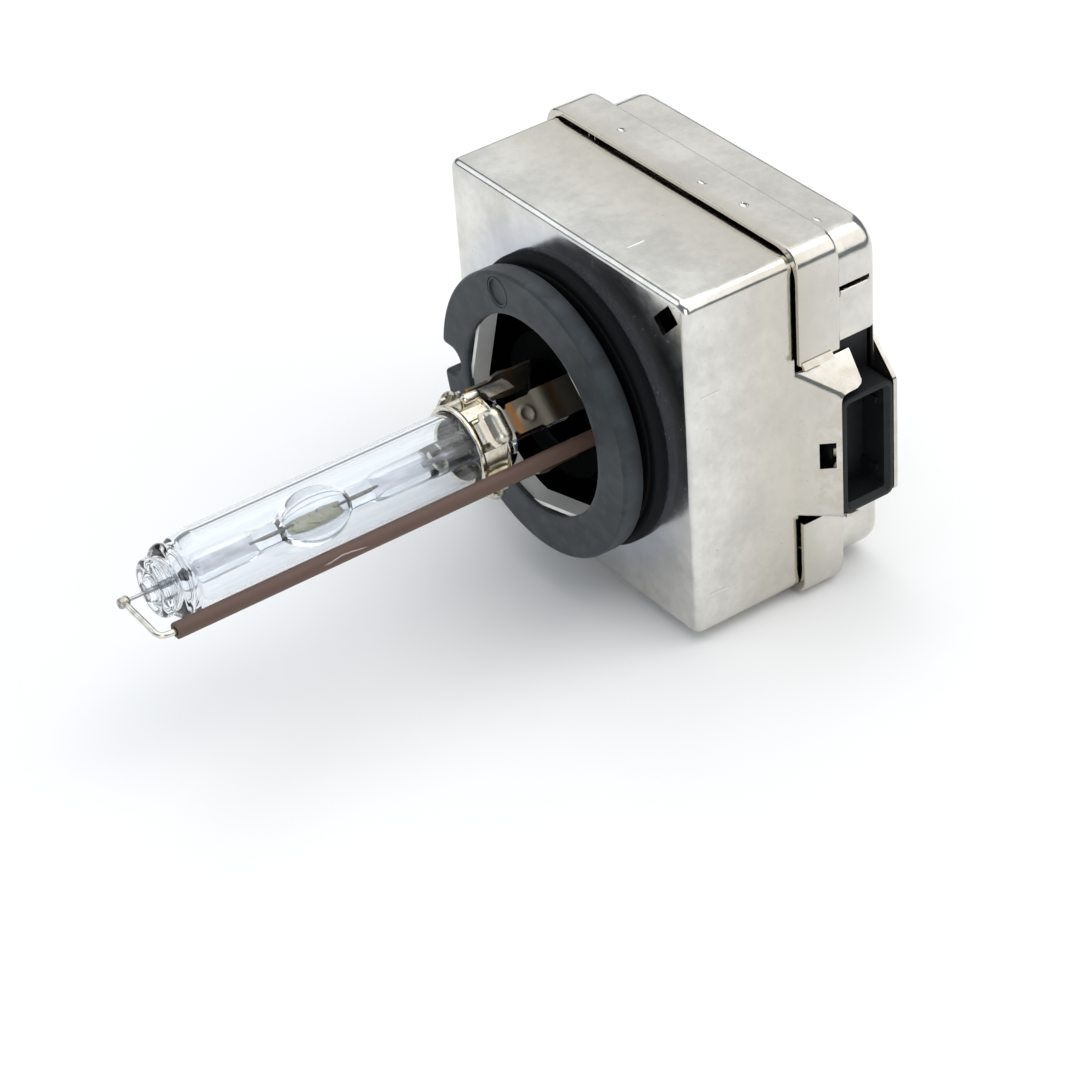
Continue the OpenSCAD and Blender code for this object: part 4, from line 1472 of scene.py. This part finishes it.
def build_world():
    """Faint, cool light from all round."""
    world = bpy.data.worlds.new("studio")
    world.use_nodes = True
    ground = world.node_tree.nodes["Background"]
    ground.inputs["Color"].default_value = (0.8, 0.9, 1.0, 1.0)
    ground.inputs["Strength"].default_value = 0.26
    bpy.context.scene.world = world


# ---- Operators ----


class BulbStep:
    """What the building steps share: each runs its makers in order."""

    bl_options = {"REGISTER"}
    makers = ()

    def execute(self, context):
        for make in self.makers:
            make()
        return {"FINISHED"}


class BULB_OT_box(BulbStep, bpy.types.Operator):
    """Build the igniter box: the front shell with its hood, and the rear cover"""

    bl_idname = "bulb.box"
    bl_label = "Igniter Box"
    makers = (build_front_shell, build_rear_cover)


class BULB_OT_base(BulbStep, bpy.types.Operator):
    """Build the keyed base and its sealing ring"""

    bl_idname = "bulb.base"
    bl_label = "Base"
    makers = (build_base, build_seal_ring)


class BULB_OT_holder(BulbStep, bpy.types.Operator):
    """Build the clamp band and the three claws"""

    bl_idname = "bulb.holder"
    bl_label = "Holder"
    makers = (build_band, build_claws)


class BULB_OT_burner(BulbStep, bpy.types.Operator):
    """Build the quartz jacket, the discharge vessel and what is in them"""

    bl_idname = "bulb.burner"
    bl_label = "Burner"
    makers = (build_jacket, build_arc_tube, build_salts, build_lead)


class BULB_OT_return(BulbStep, bpy.types.Operator):
    """Build the return wire, its weld and its ceramic tube"""

    bl_idname = "bulb.return_wire"
    bl_label = "Return Wire"
    makers = (build_knob, build_return_wire, build_ceramic_tube)


class BULB_OT_connector(BulbStep, bpy.types.Operator):
    """Build the connector's housing"""

    bl_idname = "bulb.connector"
    bl_label = "Connector"
    makers = (build_connector,)


class BULB_OT_kept(bpy.types.Operator):
    """Give every CAD node that still shows its finish, and soften its edges"""

    bl_idname = "bulb.kept"
    bl_label = "Inner Parts"
    bl_options = {"REGISTER"}

    def execute(self, context):
        slots = {s["node"]: s["material_slot"] for s in frame["record"]["subparts"]}
        for name, node in frame["nodes"].items():
            if node.hide_render:
                continue
            node.data.materials.clear()
            node.data.materials.append(finish_of(slots[name]))
            soft = node.modifiers.new("edges", "BEVEL")
            soft.width, soft.segments, soft.limit_method = 0.06 * MM, 2, "ANGLE"
            soft.angle_limit = math.radians(50)
            if name.startswith(("foil", "electrode")):
                soft.width = 0.01 * MM
        return {"FINISHED"}


class BULB_OT_stage(bpy.types.Operator):
    """Set up the floor, the soft lights and the camera"""

    bl_idname = "bulb.stage"
    bl_label = "Stage"
    bl_options = {"REGISTER"}

    def execute(self, context):
        build_floor()
        build_world()
        soft_light("top_light", (0, 0, 900), 1200, 6.5)
        soft_light("back_light", (-540, 360, 464), 800, 1.5, (1.0, 0.99, 0.97))
        soft_light("front_light", (-440, -380, 300), 400, 0.6, (0.94, 0.97, 1.0))
        soft_light("key_light", (350, 270, 410), 640, 1.6, (1.0, 0.97, 0.93))
        soft_light("side_light", (420, -420, 190), 360, 0.9, (0.97, 0.99, 1.0))
        build_camera()
        context.scene.view_settings.view_transform = "Standard"
        return {"FINISHED"}


class BULB_PT_panel(bpy.types.Panel):
    """Building steps and settings of the bulb"""

    bl_idname = "BULB_PT_panel"
    bl_label = "Headlamp Bulb"
    bl_space_type = "VIEW_3D"
    bl_region_type = "UI"
    bl_category = "Bulb"

    def draw(self, context):
        column = self.layout.column()
        for step in STEPS:
            column.operator(step.bl_idname)
        for group, kind in GROUPS.items():
            box = self.layout.box()
            box.label(text=kind.__doc__)
            for name in kind.__annotations__:
                box.prop(getattr(context.scene, group), name)


STEPS = (
    BULB_OT_stage, BULB_OT_box, BULB_OT_base, BULB_OT_holder, BULB_OT_burner,
    BULB_OT_return, BULB_OT_connector, BULB_OT_kept,
)


def register():
    for kind in (*GROUPS.values(), *STEPS, BULB_PT_panel):
        bpy.utils.register_class(kind)
    for name, kind in GROUPS.items():
        setattr(bpy.types.Scene, name, bpy.props.PointerProperty(type=kind))


def unregister():
    for name in GROUPS:
        delattr(bpy.types.Scene, name)
    for kind in reversed((*GROUPS.values(), *STEPS, BULB_PT_panel)):
        bpy.utils.unregister_class(kind)


def main():
    """Build everything in order."""
    register()
    bpy.ops.bulb.stage()
    bpy.ops.bulb.box()
    bpy.ops.bulb.base()
    bpy.ops.bulb.holder()
    bpy.ops.bulb.burner()
    bpy.ops.bulb.return_wire()
    bpy.ops.bulb.connector()
    bpy.ops.bulb.kept()


if __name__ == "__main__":
    main()
